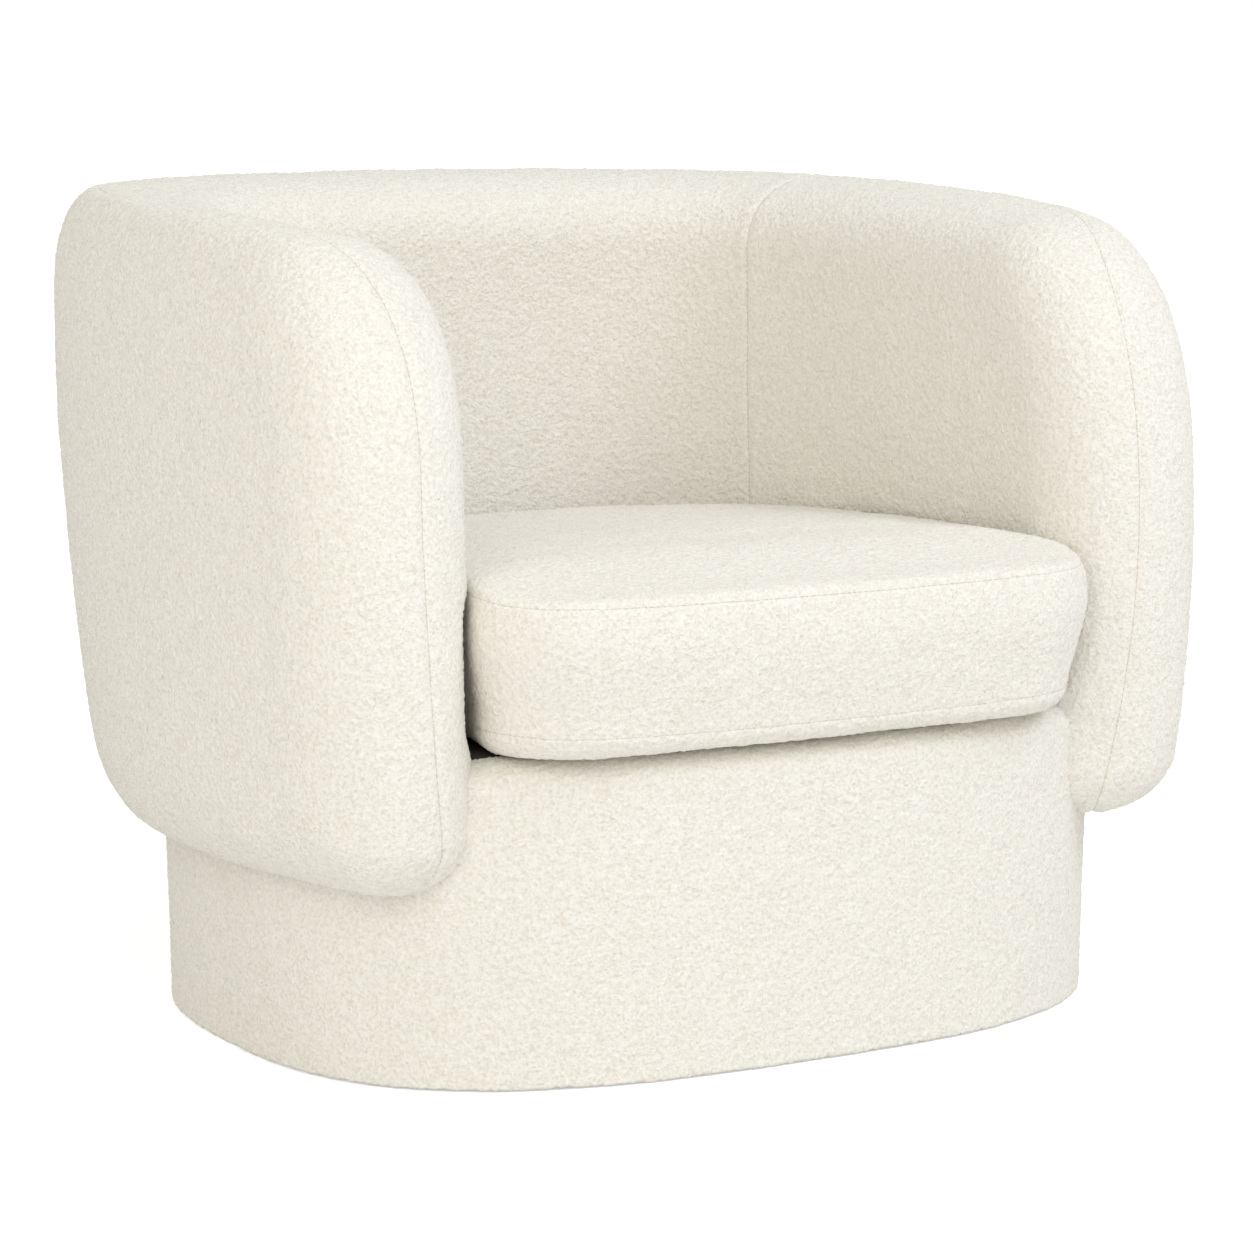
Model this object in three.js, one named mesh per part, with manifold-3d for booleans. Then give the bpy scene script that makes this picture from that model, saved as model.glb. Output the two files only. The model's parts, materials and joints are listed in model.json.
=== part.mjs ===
import * as THREE from "three";
import { mergeVertices } from "three/addons/utils/BufferGeometryUtils.js";
import Module from "manifold-3d";

const wasm = await Module();
wasm.setup();

// A tub chair: an oval padded plinth, a thick C-shaped shell that makes the back and both arms, and a
// loose boxed seat cushion. Millimetres, +Z up, the sitter faces -Y.

// Plinth
const plinthHalfWidth = 420;
const plinthHalfDepth = 326;
const plinthFlare = 5;
const plinthTop = 285.5;
const plinthOvalPower = 2.8;

// Shell: the middle of its wall, in plan, at a low and a high reference height
const lowHeight = 200;
const highHeight = 700;
const shellOverPlinth = 20;
const shellSideLean = 10.5;
const lowHalfWidth = plinthHalfWidth - shellOverPlinth;
const highHalfWidth = lowHalfWidth - shellSideLean;
const widthSwell = 1.5;
const shellCentreY = 7;
const shellBehindPlinth = 9;
const shellBackLean = 94;
const lowBackDepth = plinthHalfDepth + shellBehindPlinth;
const highBackDepth = lowBackDepth + shellBackLean;
const backDepthSwell = 47;
const armTipInset = 38;
const armTipLean = 16;
const lowArmLength = plinthHalfDepth + shellCentreY - armTipInset;
const highArmLength = lowArmLength - armTipLean;
const armLengthSwell = 23;
const lowArmTurnIn = 53.5;
const highArmTurnIn = 30.5;
const armTurnInSwell = -17.5;
const lowBackOvalPower = 2.55;
const highBackOvalPower = 3.5;
const backPathShare = 0.62;

// Shell: the outline of the wall, seen square to it
const backTopHeight = 756;
const armTopDrop = 40;
const armTopHeight = backTopHeight - armTopDrop;
const shellFootDrop = 100;
const backFootHeight = plinthTop - shellFootDrop;
const armFootDrop = 13.5;
const armFootHeight = backFootHeight - armFootDrop;
const armCornerLength = 151;
const armCornerDrop = 195;
const armCornerPower = 2.37;
const armFootRadius = 52;

// Shell: the thickness of the wall and the sewn crest where its two sides meet
const wallHalf = 81.5;
const crestOutBack = 41;
const crestOutTip = -8;
const crestParting = 0.1;
const crestDriftPower = 2.27;
const crestDriftStartShare = 0.45;
const outerRound = 87;
const outerRoundPower = 2.17;
const innerRound = 53;
const innerRoundPower = 1.87;
const panelSeamShare = 0.36;

// Coverings and paddings
const coverThickness = 2.6;
const outerFoam = 22;
const innerFoam = 40;
const plinthFoam = 10;
const boardThickness = 3;
const fitGap = 0.4;
const foamGap = 1.2;
const boardGap = 5;
const plinthGap = 1.5;
const cutOverrun = 20;

// Shell frame
const plyThickness = 18;
const frameReachOut = 43;
const frameReachIn = 26;
const bottomRailLift = 22.5;
const bottomRailUnderside = backFootHeight + bottomRailLift;
const topRailDepth = 88;
const topRailUnderside = backTopHeight - topRailDepth;
const frameEdge = 68;
const boardEdge = 78;
const ribShares = [-0.44, -0.22, 0, 0.22, 0.44];
const ribSlotShare = 0.42;
const panelReachOut = 16;
const panelTopInset = 56;
const panelWindowShare = 0.6;

// Plinth frame and seat platform
const ringWidth = 62;
const platformWidth = 165;
const platformDepth = 125.5;
const platformTop = plinthTop - platformDepth;
const basePostWidth = 38;
const glideHeight = 3;
const glideRadius = 11;
const dustClothThickness = 1.2;
const seatSideInset = 158;
const seatFrontInset = 54;
const seatBackInset = 136;
const seatBoxHalfWidth = plinthHalfWidth - seatSideInset;
const seatBoxFront = seatFrontInset - plinthHalfDepth;
const seatBoxBack = plinthHalfDepth - seatBackInset;
const seatRailHeight = 88;
const seatRailThickness = 24;
const nosingThickness = 17;
const spacerSize = 36;
const rearSpacerShare = 0.2;
const armSpacerShare = 0.72;
const springWireRadius = 1.9;
const springHalfWidth = 24;
const springPitch = 32;
const springSideInset = 62;
const springCrown = 11;
const deckPadThickness = 12;
const deckClothThickness = 1.2;
const deckLip = 70;

// Seat cushion
const cushionTipClearance = 10;
const cushionOverhang = 8;
const cushionHalfWidth = highHalfWidth - wallHalf - cushionTipClearance;
const cushionFront = -(plinthHalfDepth + cushionOverhang);
const cushionCornerRadius = 47;
const cushionFrontBow = 14;
const cushionRest = 2;
const cushionBaseDome = 17.5;
const cushionBoxing = 111;
const cushionCrown = 25;
const cushionBase = plinthTop + cushionRest;
const cushionBottomSeam = cushionBase + cushionBaseDome;
const cushionTopSeam = cushionBottomSeam + cushionBoxing;
const cushionCrownHeight = cushionTopSeam + cushionCrown;
const cushionEdgeRound = 13;
const cushionSideSwell = 5;
const cushionSeamDraw = 2.5;
const cushionClearance = 3;
const cushionCover = 2.6;
const cushionCrownPower = 2.3;
const boxingShares = [0, 0.1, 0.5, 0.9, 1];
const crownShares = [0, 0.02, 0.07, 0.2, 0.5, 1];
const baseShares = [1, 0.5, 0];
const cushionSideShare = 0.92;

// Counts
const backColumns = 10;
const armColumns = 9;
const shellRows = 8;
const boardRows = 5;
const frameRows = 3;
const ribSteps = 5;
const headSteps = 8;
const panelSteps = 12;
const windowSides = 16;
const tipCrowding = 1.4;
const ovalSides = 40;
const glideSides = 8;
const glideCount = 6;
const basePostCount = 6;
const springCount = 5;
const wireSides = 5;
const bendShares = [1 / 3, 2 / 3];
const cushionSideSteps = 10;
const cushionCornerSteps = 4;
const cushionFrontSteps = 3;

const cloth = new THREE.MeshStandardMaterial({ color: 0xf1ebdf, roughness: 0.95, metalness: 0 });
const foam = new THREE.MeshStandardMaterial({ color: 0xe9dcae, roughness: 0.9, metalness: 0 });
const timber = new THREE.MeshStandardMaterial({ color: 0xc9a877, roughness: 0.75, metalness: 0 });
const ply = new THREE.MeshStandardMaterial({ color: 0xd8bd8e, roughness: 0.7, metalness: 0 });
const board = new THREE.MeshStandardMaterial({ color: 0x9c7b56, roughness: 0.85, metalness: 0 });
const steel = new THREE.MeshStandardMaterial({ color: 0x8d9094, roughness: 0.4, metalness: 1 });
const liner = new THREE.MeshStandardMaterial({ color: 0x2b2a29, roughness: 1, metalness: 0 });
const nylon = new THREE.MeshStandardMaterial({ color: 0x3a3836, roughness: 0.5, metalness: 0 });

const chair = new THREE.Group();
const frameGroup = new THREE.Group();
const cushionGroup = new THREE.Group();
chair.add(frameGroup, cushionGroup);

function place(group, name, geometry, material) {
  const mesh = new THREE.Mesh(geometry, material);
  mesh.name = name;
  group.add(mesh);
  return mesh;
}

const clamp = THREE.MathUtils.clamp;
const lerp = THREE.MathUtils.lerp;
const quarterTurn = Math.PI / 2;
const fullTurn = Math.PI * 2;

const weldDistance = 1e-3;

// Geometry helpers

// A closed surface from points and triangles, with doubled points joined, collapsed triangles dropped
// and its faces turned outwards.
function closedSurface(points, faces) {
  const raw = new THREE.BufferGeometry();
  raw.setAttribute("position", new THREE.Float32BufferAttribute(points.flatMap((p) => p.toArray()), 3));
  raw.setIndex(faces);
  return tidySurface(raw);
}

function tidySurface(geometry) {
  const bare = geometry.clone();
  bare.deleteAttribute("normal");
  bare.deleteAttribute("uv");
  const merged = mergeVertices(bare, weldDistance);
  const position = merged.attributes.position;
  const kept = [];
  let volume = 0;
  const [a, b, c] = [new THREE.Vector3(), new THREE.Vector3(), new THREE.Vector3()];
  for (let i = 0; i < merged.index.count; i += 3) {
    const corners = [merged.index.getX(i), merged.index.getX(i + 1), merged.index.getX(i + 2)];
    if (new Set(corners).size < 3) continue;
    kept.push(...corners);
    [a, b, c].forEach((v, k) => v.fromBufferAttribute(position, corners[k]));
    volume += a.dot(b.cross(c));
  }
  if (volume < 0) kept.reverse();
  merged.setIndex(kept);
  return merged;
}

function toSolid(geometry) {
  const tidy = tidySurface(geometry);
  const vertProperties = new Float32Array(tidy.attributes.position.array);
  const triVerts = new Uint32Array(tidy.index.array);
  return new wasm.Manifold(new wasm.Mesh({ numProp: 3, vertProperties, triVerts }));
}

function toGeometry(solid) {
  const mesh = solid.getMesh();
  const geometry = new THREE.BufferGeometry();
  geometry.setAttribute("position", new THREE.BufferAttribute(new Float32Array(mesh.vertProperties), 3));
  geometry.setIndex(new THREE.BufferAttribute(new Uint32Array(mesh.triVerts), 1));
  return geometry;
}

function cut(geometry, ...tools) {
  let solid = toSolid(geometry);
  for (const tool of tools) solid = solid.subtract(toSolid(tool));
  const largest = solid.decompose().reduce((a, b) => (a.volume() > b.volume() ? a : b));
  return toGeometry(largest);
}

// The solid between two like grids of points: grid[i][j], with i along the piece and j across it.
function sheetBetween(outer, inner, closed = false) {
  const along = outer.length;
  const across = outer[0].length;
  const at = (i, j, layer) => layer * along * across + (i % along) * across + j;
  const faces = [];
  const quad = (a, b, c, d) => faces.push(a, b, c, a, c, d);
  const spans = closed ? along : along - 1;
  const lastRow = across - 1;
  for (let i = 0; i < spans; i++) {
    for (let j = 0; j < lastRow; j++) {
      quad(at(i, j, 0), at(i + 1, j, 0), at(i + 1, j + 1, 0), at(i, j + 1, 0));
      quad(at(i, j, 1), at(i, j + 1, 1), at(i + 1, j + 1, 1), at(i + 1, j, 1));
    }
    quad(at(i, 0, 1), at(i + 1, 0, 1), at(i + 1, 0, 0), at(i, 0, 0));
    quad(at(i, lastRow, 0), at(i + 1, lastRow, 0), at(i + 1, lastRow, 1), at(i, lastRow, 1));
  }
  if (!closed) {
    const end = along - 1;
    for (let j = 0; j < lastRow; j++) {
      quad(at(0, j, 0), at(0, j + 1, 0), at(0, j + 1, 1), at(0, j, 1));
      quad(at(end, j, 0), at(end, j, 1), at(end, j + 1, 1), at(end, j + 1, 0));
    }
  }
  return closedSurface([...outer.flat(), ...inner.flat()], faces);
}

// A solid stacked from closed loops of points, capped by a point in the middle of each end loop.
function stackOf(loops, firstCentre, lastCentre) {
  const sides = loops[0].length;
  const faces = [];
  const at = (i, k) => i * sides + (k % sides);
  for (let i = 0; i < loops.length - 1; i++) {
    for (let k = 0; k < sides; k++) {
      faces.push(at(i, k), at(i, k + 1), at(i + 1, k + 1), at(i, k), at(i + 1, k + 1), at(i + 1, k));
    }
  }
  const first = loops.length * sides;
  const last = loops.length - 1;
  for (let k = 0; k < sides; k++) {
    faces.push(at(0, k + 1), at(0, k), first);
    faces.push(at(last, k), at(last, k + 1), first + 1);
  }
  return closedSurface([...loops.flat(), firstCentre, lastCentre], faces);
}

// A flat plate cut from an outline in plan, with its underside at the given height.
function plate(outline, underside, thickness, holes = []) {
  const shape = new THREE.Shape(outline);
  shape.holes = holes.map((hole) => new THREE.Path(hole));
  const geometry = new THREE.ExtrudeGeometry(shape, { depth: thickness, bevelEnabled: false, steps: 1 });
  return geometry.translate(0, 0, underside);
}

// The same plate stood upright on a base point, with its outline running across and up.
function standingPlate(points, holes, base, across, thickness = plyThickness) {
  const up = new THREE.Vector3(0, 0, 1);
  const stand = new THREE.Matrix4().makeBasis(across, up, across.clone().cross(up));
  return plate(points, -thickness / 2, thickness, holes).applyMatrix4(stand).translate(base.x, base.y, 0);
}

// Plinth plan: a rounded oval, drawn in by an inset and flared a little towards the top

function ovalPoint(turn, inset, height) {
  const grow = (plinthFlare * height) / plinthTop - inset;
  const across = Math.abs(Math.cos(turn) / (plinthHalfWidth + grow));
  const deep = Math.abs(Math.sin(turn) / (plinthHalfDepth + grow));
  const reach = (across ** plinthOvalPower + deep ** plinthOvalPower) ** (-1 / plinthOvalPower);
  return new THREE.Vector3(reach * Math.cos(turn), reach * Math.sin(turn), height);
}

const ovalLoop = (inset, height, sides = ovalSides) =>
  Array.from({ length: sides }, (_, k) => ovalPoint((k * fullTurn) / sides, inset, height));

const ovalOutline = (inset, height) => ovalLoop(inset, height).map((p) => new THREE.Vector2(p.x, p.y));

// The upright wall of the plinth between two insets and two heights.
function plinthWall(outset, inset, low, high) {
  const wall = (depth) => {
    const top = ovalLoop(depth, high);
    return ovalLoop(depth, low).map((p, k) => [p, top[k]]);
  };
  return sheetBetween(wall(outset), wall(inset), true);
}

const plinthBlock = (inset, low, high) => {
  const mid = (height) => new THREE.Vector3(0, 0, height);
  return stackOf([ovalLoop(inset, low), ovalLoop(inset, high)], mid(low), mid(high));
};

// Shell plan: a path from the middle of the back (share 0) to the tip of an arm (share 1, or -1 on
// the other side)

function swelling(low, high, swell, height) {
  const t = (height - lowHeight) / (highHeight - lowHeight);
  return low + (high - low) * t + 4 * swell * t * (1 - t);
}

function pathPoint(share, height) {
  const halfWidth = swelling(lowHalfWidth, highHalfWidth, widthSwell, height);
  const side = Math.sign(share) || 1;
  const far = Math.abs(share);
  if (far <= backPathShare) {
    const depth = swelling(lowBackDepth, highBackDepth, backDepthSwell, height);
    const power = swelling(lowBackOvalPower, highBackOvalPower, 0, height);
    const turn = (far / backPathShare) * quarterTurn;
    const reach = (Math.sin(turn) / halfWidth) ** power + Math.abs(Math.cos(turn) / depth) ** power;
    const radius = reach ** (-1 / power);
    const y = shellCentreY + radius * Math.cos(turn);
    return new THREE.Vector3(side * radius * Math.sin(turn), y, height);
  }
  const along = (far - backPathShare) / (1 - backPathShare);
  const turnIn = swelling(lowArmTurnIn, highArmTurnIn, armTurnInSwell, height);
  const length = swelling(lowArmLength, highArmLength, armLengthSwell, height);
  return new THREE.Vector3(side * (halfWidth - turnIn * along ** 2), shellCentreY - length * along, height);
}

const shareStep = 1e-3;

// The directions along the path and out of the shell, level with the floor.
function pathFrame(share, height) {
  const ahead = pathPoint(share + shareStep, height);
  const along = ahead.sub(pathPoint(share - shareStep, height)).normalize();
  return { along, out: new THREE.Vector3(-along.y, along.x, 0) };
}

// Distances along the path are measured at the middle height of the wall.
const tapeSteps = 120;
const tapeHeight = (lowHeight + highHeight) / 2;
const tape = [0];
for (let i = 1; i <= tapeSteps; i++) {
  const step = pathPoint(i / tapeSteps, tapeHeight).distanceTo(pathPoint((i - 1) / tapeSteps, tapeHeight));
  tape.push(tape[i - 1] + step);
}
const tipDistance = tape[tapeSteps];

function distanceAt(share) {
  const place = Math.abs(share) * tapeSteps;
  const i = Math.min(Math.floor(place), tapeSteps - 1);
  return Math.sign(share) * lerp(tape[i], tape[i + 1], place - i);
}

function shareAt(distance) {
  const far = Math.min(Math.abs(distance), tipDistance);
  const i = Math.max(tape.findIndex((mark) => mark >= far), 1);
  const share = (i - 1 + (far - tape[i - 1]) / (tape[i] - tape[i - 1])) / tapeSteps;
  return Math.sign(distance) * share;
}

// Shell outline: its top and its foot at a distance from the middle of the back, drawn in by an inset

function topAt(distance, inset) {
  const far = Math.abs(distance);
  const level = lerp(backTopHeight, armTopHeight, (far / tipDistance) ** 2) - inset;
  const start = tipDistance - armCornerLength;
  const into = clamp((far - start) / (armCornerLength - inset), 0, 1);
  const drop = 1 - (1 - into ** armCornerPower) ** (1 / armCornerPower);
  return level - (armCornerDrop - inset) * drop;
}

function footAt(distance, inset) {
  const far = Math.abs(distance);
  const level = lerp(backFootHeight, armFootHeight, (far / tipDistance) ** 2) + inset;
  const radius = Math.max(armFootRadius - inset, coverThickness);
  const into = clamp((far - (tipDistance - inset - radius)) / radius, 0, 1);
  return level + radius * (1 - Math.sqrt(1 - into ** 2));
}

const outlineSteps = 40;
const outlineMarks = Array.from({ length: outlineSteps + 1 }, (_, i) => {
  const t = i / outlineSteps;
  return tipDistance * (1 - (1 - t) ** 2);
});
const outline = [
  ...outlineMarks.map((mark) => new THREE.Vector2(mark, topAt(mark, 0))),
  ...outlineMarks.map((mark) => new THREE.Vector2(mark, footAt(mark, 0))).reverse(),
];

function distanceToOutline(distance, height) {
  const point = new THREE.Vector2(Math.abs(distance), height);
  let least = Infinity;
  for (let i = 0; i < outline.length - 1; i++) {
    const run = outline[i + 1].clone().sub(outline[i]);
    const length = run.lengthSq();
    if (length === 0) continue;
    const t = clamp(point.clone().sub(outline[i]).dot(run) / length, 0, 1);
    least = Math.min(least, point.distanceTo(outline[i].clone().addScaledVector(run, t)));
  }
  return least;
}

// How far the sewn crest stands out from the middle of the wall.
function crestOffset(share) {
  const drift = clamp((Math.abs(share) - crestDriftStartShare) / (1 - crestDriftStartShare), 0, 1);
  return lerp(crestOutBack, crestOutTip, drift ** crestDriftPower);
}

const roundedRise = (share, power) => (1 - (1 - clamp(share, 0, 1)) ** power) ** (1 / power);

// A point in the wall at a depth below its finished surface: side 1 is the outside and -1 the inside.
// The two sides part at the crest, a little more the deeper they lie.
function wallPoint(side, distance, height, depth) {
  const share = shareAt(distance);
  const crest = crestOffset(share) + side * (fitGap / 2 + crestParting * depth);
  const round = side > 0 ? outerRound : innerRound;
  const power = side > 0 ? outerRoundPower : innerRoundPower;
  const rise = roundedRise((distanceToOutline(distance, height) - depth) / (round - depth), power);
  const offset = lerp(crest, side * (wallHalf - depth), rise);
  return pathPoint(share, height).addScaledVector(pathFrame(share, height).out, offset);
}

// Columns that all the layers of the shell share, as distances from the middle of the back. They
// close up towards the tips, and in a layer that is drawn in the last of them are squeezed together.
const seamAt = distanceAt(panelSeamShare);
const cornerStart = tipDistance - armCornerLength;
const frameTip = tipDistance - frameEdge;

function halfMarks() {
  const back = Array.from({ length: backColumns / 2 }, (_, i) => (seamAt * i) / (backColumns / 2));
  const arm = Array.from({ length: armColumns + 1 }, (_, i) =>
    lerp(seamAt, tipDistance, 1 - (1 - i / armColumns) ** tipCrowding));
  return [...back, ...arm];
}
const rightMarks = halfMarks();
const columnMarks = [...rightMarks.slice(1).reverse().map((mark) => -mark), ...rightMarks];
const lastColumn = columnMarks.length - 1;

function squeezed(mark, tip) {
  const far = Math.abs(mark);
  if (far <= cornerStart) return mark;
  return Math.sign(mark) * lerp(cornerStart, tip, (far - cornerStart) / armCornerLength);
}

// The columns of a panel, which is drawn in a little from an end that is a seam.
function panelColumns(tip, [first, last]) {
  return columnMarks.slice(first, last + 1).map((mark, i) => {
    const startGap = i === 0 && first > 0 ? fitGap / 2 : 0;
    const endGap = i === last - first && last < lastColumn ? fitGap / 2 : 0;
    return squeezed(mark, tip) + startGap - endGap;
  });
}

// Heights between a low and a high one that close up towards both.
const eased = (low, high, j, rows) => lerp(low, high, (1 - Math.cos((Math.PI * j) / rows)) / 2);

// One side of the wall between two depths, drawn in from the outline by its depth or by a set edge.
function wallLayer(side, outerDepth, innerDepth, options = {}) {
  const { reach = [0, lastColumn], edge, rows = shellRows } = options;
  const grid = (depth) => {
    const inset = edge ?? depth;
    return panelColumns(tipDistance - inset, reach).map((distance) =>
      Array.from({ length: rows + 1 }, (_, j) => {
        const height = eased(footAt(distance, inset), topAt(distance, inset), j, rows);
        return wallPoint(side, distance, height, depth);
      }));
  };
  return sheetBetween(grid(outerDepth), grid(innerDepth));
}

// The whole wall as one block, grown outwards, which the plinth is cut by.
function wallBlock(grow) {
  const grid = (side) =>
    columnMarks.map((distance, i) => {
      const [foot, top] = [footAt(distance, 0), topAt(distance, 0)];
      const past = i === 0 ? -grow : i === lastColumn ? grow : 0;
      return Array.from({ length: shellRows + 1 }, (_, j) => {
        const height = eased(foot, top, j, shellRows);
        const { along, out } = pathFrame(shareAt(distance), height);
        const point = wallPoint(side, distance, height, 0);
        point.z += j === 0 ? -grow : j === shellRows ? grow : 0;
        return point.addScaledVector(out, side * grow).addScaledVector(along, past);
      });
    });
  return sheetBetween(grid(1), grid(-1));
}

// The upright space inside the wall that the frame takes up, grown by a gap.
function frameSpace(grow) {
  const tip = frameTip + grow;
  const grid = (reach) =>
    panelColumns(tip, [0, lastColumn]).map((distance) => {
      const low = bottomRailUnderside - grow;
      const high = Math.min(topRailUnderside + plyThickness, topAt(distance, panelTopInset)) + grow;
      return Array.from({ length: frameRows + 1 }, (_, j) => {
        const height = lerp(low, high, j / frameRows);
        const share = shareAt(distance);
        return pathPoint(share, height).addScaledVector(pathFrame(share, height).out, reach);
      });
    });
  return sheetBetween(grid(frameReachOut + grow), grid(-frameReachIn - grow));
}

// A level plate that follows the wall, between two reaches from its middle.
function cPlate(height, thickness, reachOut, reachIn, tip) {
  const marks = [-tip, ...columnMarks.filter((mark) => Math.abs(mark) < tip - plyThickness), tip];
  const side = (reach) =>
    marks.map((distance) => {
      const share = shareAt(distance);
      const point = pathPoint(share, height).addScaledVector(pathFrame(share, height).out, reach);
      return new THREE.Vector2(point.x, point.y);
    });
  return plate([...side(reachOut), ...side(-reachIn).reverse()], height, thickness);
}

// Shell frame: two C-shaped plywood rails, ribs between them round the back, a side panel and an
// upright front board in each arm

const backEnd = distanceAt(backPathShare);
const railHead = bottomRailUnderside + plyThickness;

const frameCutters = [frameSpace(fitGap)];

function shellRail(name, underside, tip) {
  const rail = (grow) => {
    const thickness = plyThickness + 2 * grow;
    return cPlate(underside - grow, thickness, frameReachOut + grow, frameReachIn + grow, tip + grow);
  };
  place(frameGroup, name, rail(0), ply);
  frameCutters.push(rail(fitGap));
}
shellRail("shell_bottom_rail", bottomRailUnderside, frameTip);
shellRail("shell_top_rail", topRailUnderside, backEnd);

// A profile stands square to the path and follows the bow of the wall, from the bottom rail up.
const ribFoot = railHead + fitGap;
const ribHead = topRailUnderside - fitGap;

function bowedProfile(share) {
  const base = pathPoint(share, tapeHeight);
  const { out } = pathFrame(share, tapeHeight);
  const bow = (height) => pathPoint(share, height).sub(base).dot(out);
  const edge = (reach, low, high, steps) =>
    Array.from({ length: steps + 1 }, (_, i) => {
      const height = lerp(low, high, i / steps);
      return new THREE.Vector2(bow(height) + reach, height);
    });
  return { base, out, bow, edge };
}

// A rib has a slot through its middle.
function rib(share) {
  const { base, out, edge } = bowedProfile(share);
  const width = frameReachOut + frameReachIn;
  const slotIn = (width * (1 - ribSlotShare)) / 2;
  const points = [
    ...edge(frameReachOut, ribFoot, ribHead, ribSteps),
    ...edge(-frameReachIn, ribFoot, ribHead, ribSteps).reverse(),
  ];
  const slot = [
    ...edge(-frameReachIn + slotIn, ribFoot + width, ribHead - width, ribSteps),
    ...edge(frameReachOut - slotIn, ribFoot + width, ribHead - width, ribSteps).reverse(),
  ];
  return standingPlate(points, [slot], base, out);
}
ribShares.forEach((share, i) => {
  place(frameGroup, `back_rib_${i + 1}`, rib(share), ply);
});

// An arm panel is an upright plywood side with the arm's rounded corner and an oval window.
const panelHead = topRailUnderside + plyThickness;
const panelStart = backEnd + boardGap;
const panelEnd = frameTip - plyThickness - boardGap;

function armPanel(side, grow) {
  const reach = panelReachOut - plyThickness / 2;
  const onPlane = (distance) => {
    const share = shareAt(side * distance);
    return pathPoint(share, tapeHeight).addScaledVector(pathFrame(share, tapeHeight).out, reach);
  };
  const [base, end] = [onPlane(panelStart - grow), onPlane(panelEnd + grow)];
  const length = base.distanceTo(end);
  const top = Array.from({ length: panelSteps + 1 }, (_, i) => {
    const t = 1 - (1 - i / panelSteps) ** tipCrowding;
    const height = Math.min(panelHead, topAt(lerp(panelStart, panelEnd, t), panelTopInset));
    return new THREE.Vector2(t * length, height + grow);
  });
  const foot = [new THREE.Vector2(length, ribFoot - grow), new THREE.Vector2(0, ribFoot - grow)];
  const middle = new THREE.Vector2(length / 2, (ribFoot + top[panelSteps].y) / 2);
  const window = Array.from({ length: windowSides }, (_, k) => {
    const turn = (k * fullTurn) / windowSides;
    return new THREE.Vector2(
      middle.x + panelWindowShare * (length / 2) * Math.cos(turn),
      middle.y + panelWindowShare * (middle.y - ribFoot) * Math.sin(turn));
  });
  const across = end.clone().sub(base).normalize();
  return standingPlate([...top, ...foot], [window], base, across, plyThickness + 2 * grow);
}

// An arm front board stands across the end of the arm and has a rounded head.
function armFrontBoard(side, grow) {
  const distance = frameTip - plyThickness / 2;
  const { base, out, bow, edge } = bowedProfile(shareAt(side * distance));
  const reachOut = frameReachOut - boardGap + grow;
  const reachIn = frameReachIn - boardGap + grow;
  const half = (reachOut + reachIn) / 2;
  const shoulder = topAt(distance, panelTopInset) - half;
  const middle = bow(shoulder) + (reachOut - reachIn) / 2;
  const head = Array.from({ length: headSteps - 1 }, (_, k) => {
    const turn = ((k + 1) * Math.PI) / headSteps;
    return new THREE.Vector2(middle + half * Math.cos(turn), shoulder + half * Math.sin(turn));
  });
  const points = [
    ...edge(reachOut, ribFoot, shoulder, ribSteps),
    ...head,
    ...edge(-reachIn, ribFoot, shoulder, ribSteps).reverse(),
  ];
  return standingPlate(points, [], base, out, plyThickness + 2 * grow);
}

const sides = [[-1, "left"], [1, "right"]];
for (const [side, word] of sides) {
  place(frameGroup, `arm_panel_${word}`, armPanel(side, 0), ply);
  place(frameGroup, `arm_front_board_${word}`, armFrontBoard(side, 0), ply);
  frameCutters.push(armFrontBoard(side, fitGap));
}

// Spacer blocks tie the bottom rail to the seat platform and pass through the inner padding. They
// end at the rail and clear the arm panels that stand on it.
const spacerMiddle = bottomRailUnderside + plyThickness / 2;
const pastRail = cPlate(bottomRailUnderside - spacerSize, 3 * spacerSize, frameReachOut + spacerSize,
  frameReachIn + fitGap, frameTip);
const panelSpaces = sides.map(([side]) => armPanel(side, fitGap));
const spacerHoles = [];

function spacer(name, low, high) {
  const block = (grow) => {
    const width = high[0] - low[0] + grow;
    const depth = high[1] - low[1] + grow;
    const geometry = new THREE.BoxGeometry(width, depth, spacerSize + grow);
    return geometry.translate((low[0] + high[0]) / 2, (low[1] + high[1]) / 2, spacerMiddle);
  };
  place(frameGroup, name, cut(block(0), pastRail, ...panelSpaces), timber);
  spacerHoles.push(block(2 * fitGap));
}
for (const [side, word] of sides) {
  const rear = pathPoint(rearSpacerShare * side, spacerMiddle);
  const arm = pathPoint(armSpacerShare * side, spacerMiddle);
  const half = spacerSize / 2;
  spacer(`rear_spacer_${word}`, [rear.x - half, seatBoxBack + fitGap], [rear.x + half, rear.y]);
  const ends = [side * (seatBoxHalfWidth + fitGap), arm.x];
  spacer(`arm_spacer_${word}`, [Math.min(...ends), arm.y - half], [Math.max(...ends), arm.y + half]);
}

// Plinth

const ringUnderside = glideHeight + dustClothThickness + 2 * fitGap;
const shellCutter = wallBlock(plinthGap);
const foamInset = coverThickness + fitGap;
const boardInset = foamInset + plinthFoam + fitGap;
const frameInset = boardInset + boardThickness + fitGap;
const deckTop = plinthTop - coverThickness - fitGap;

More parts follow.
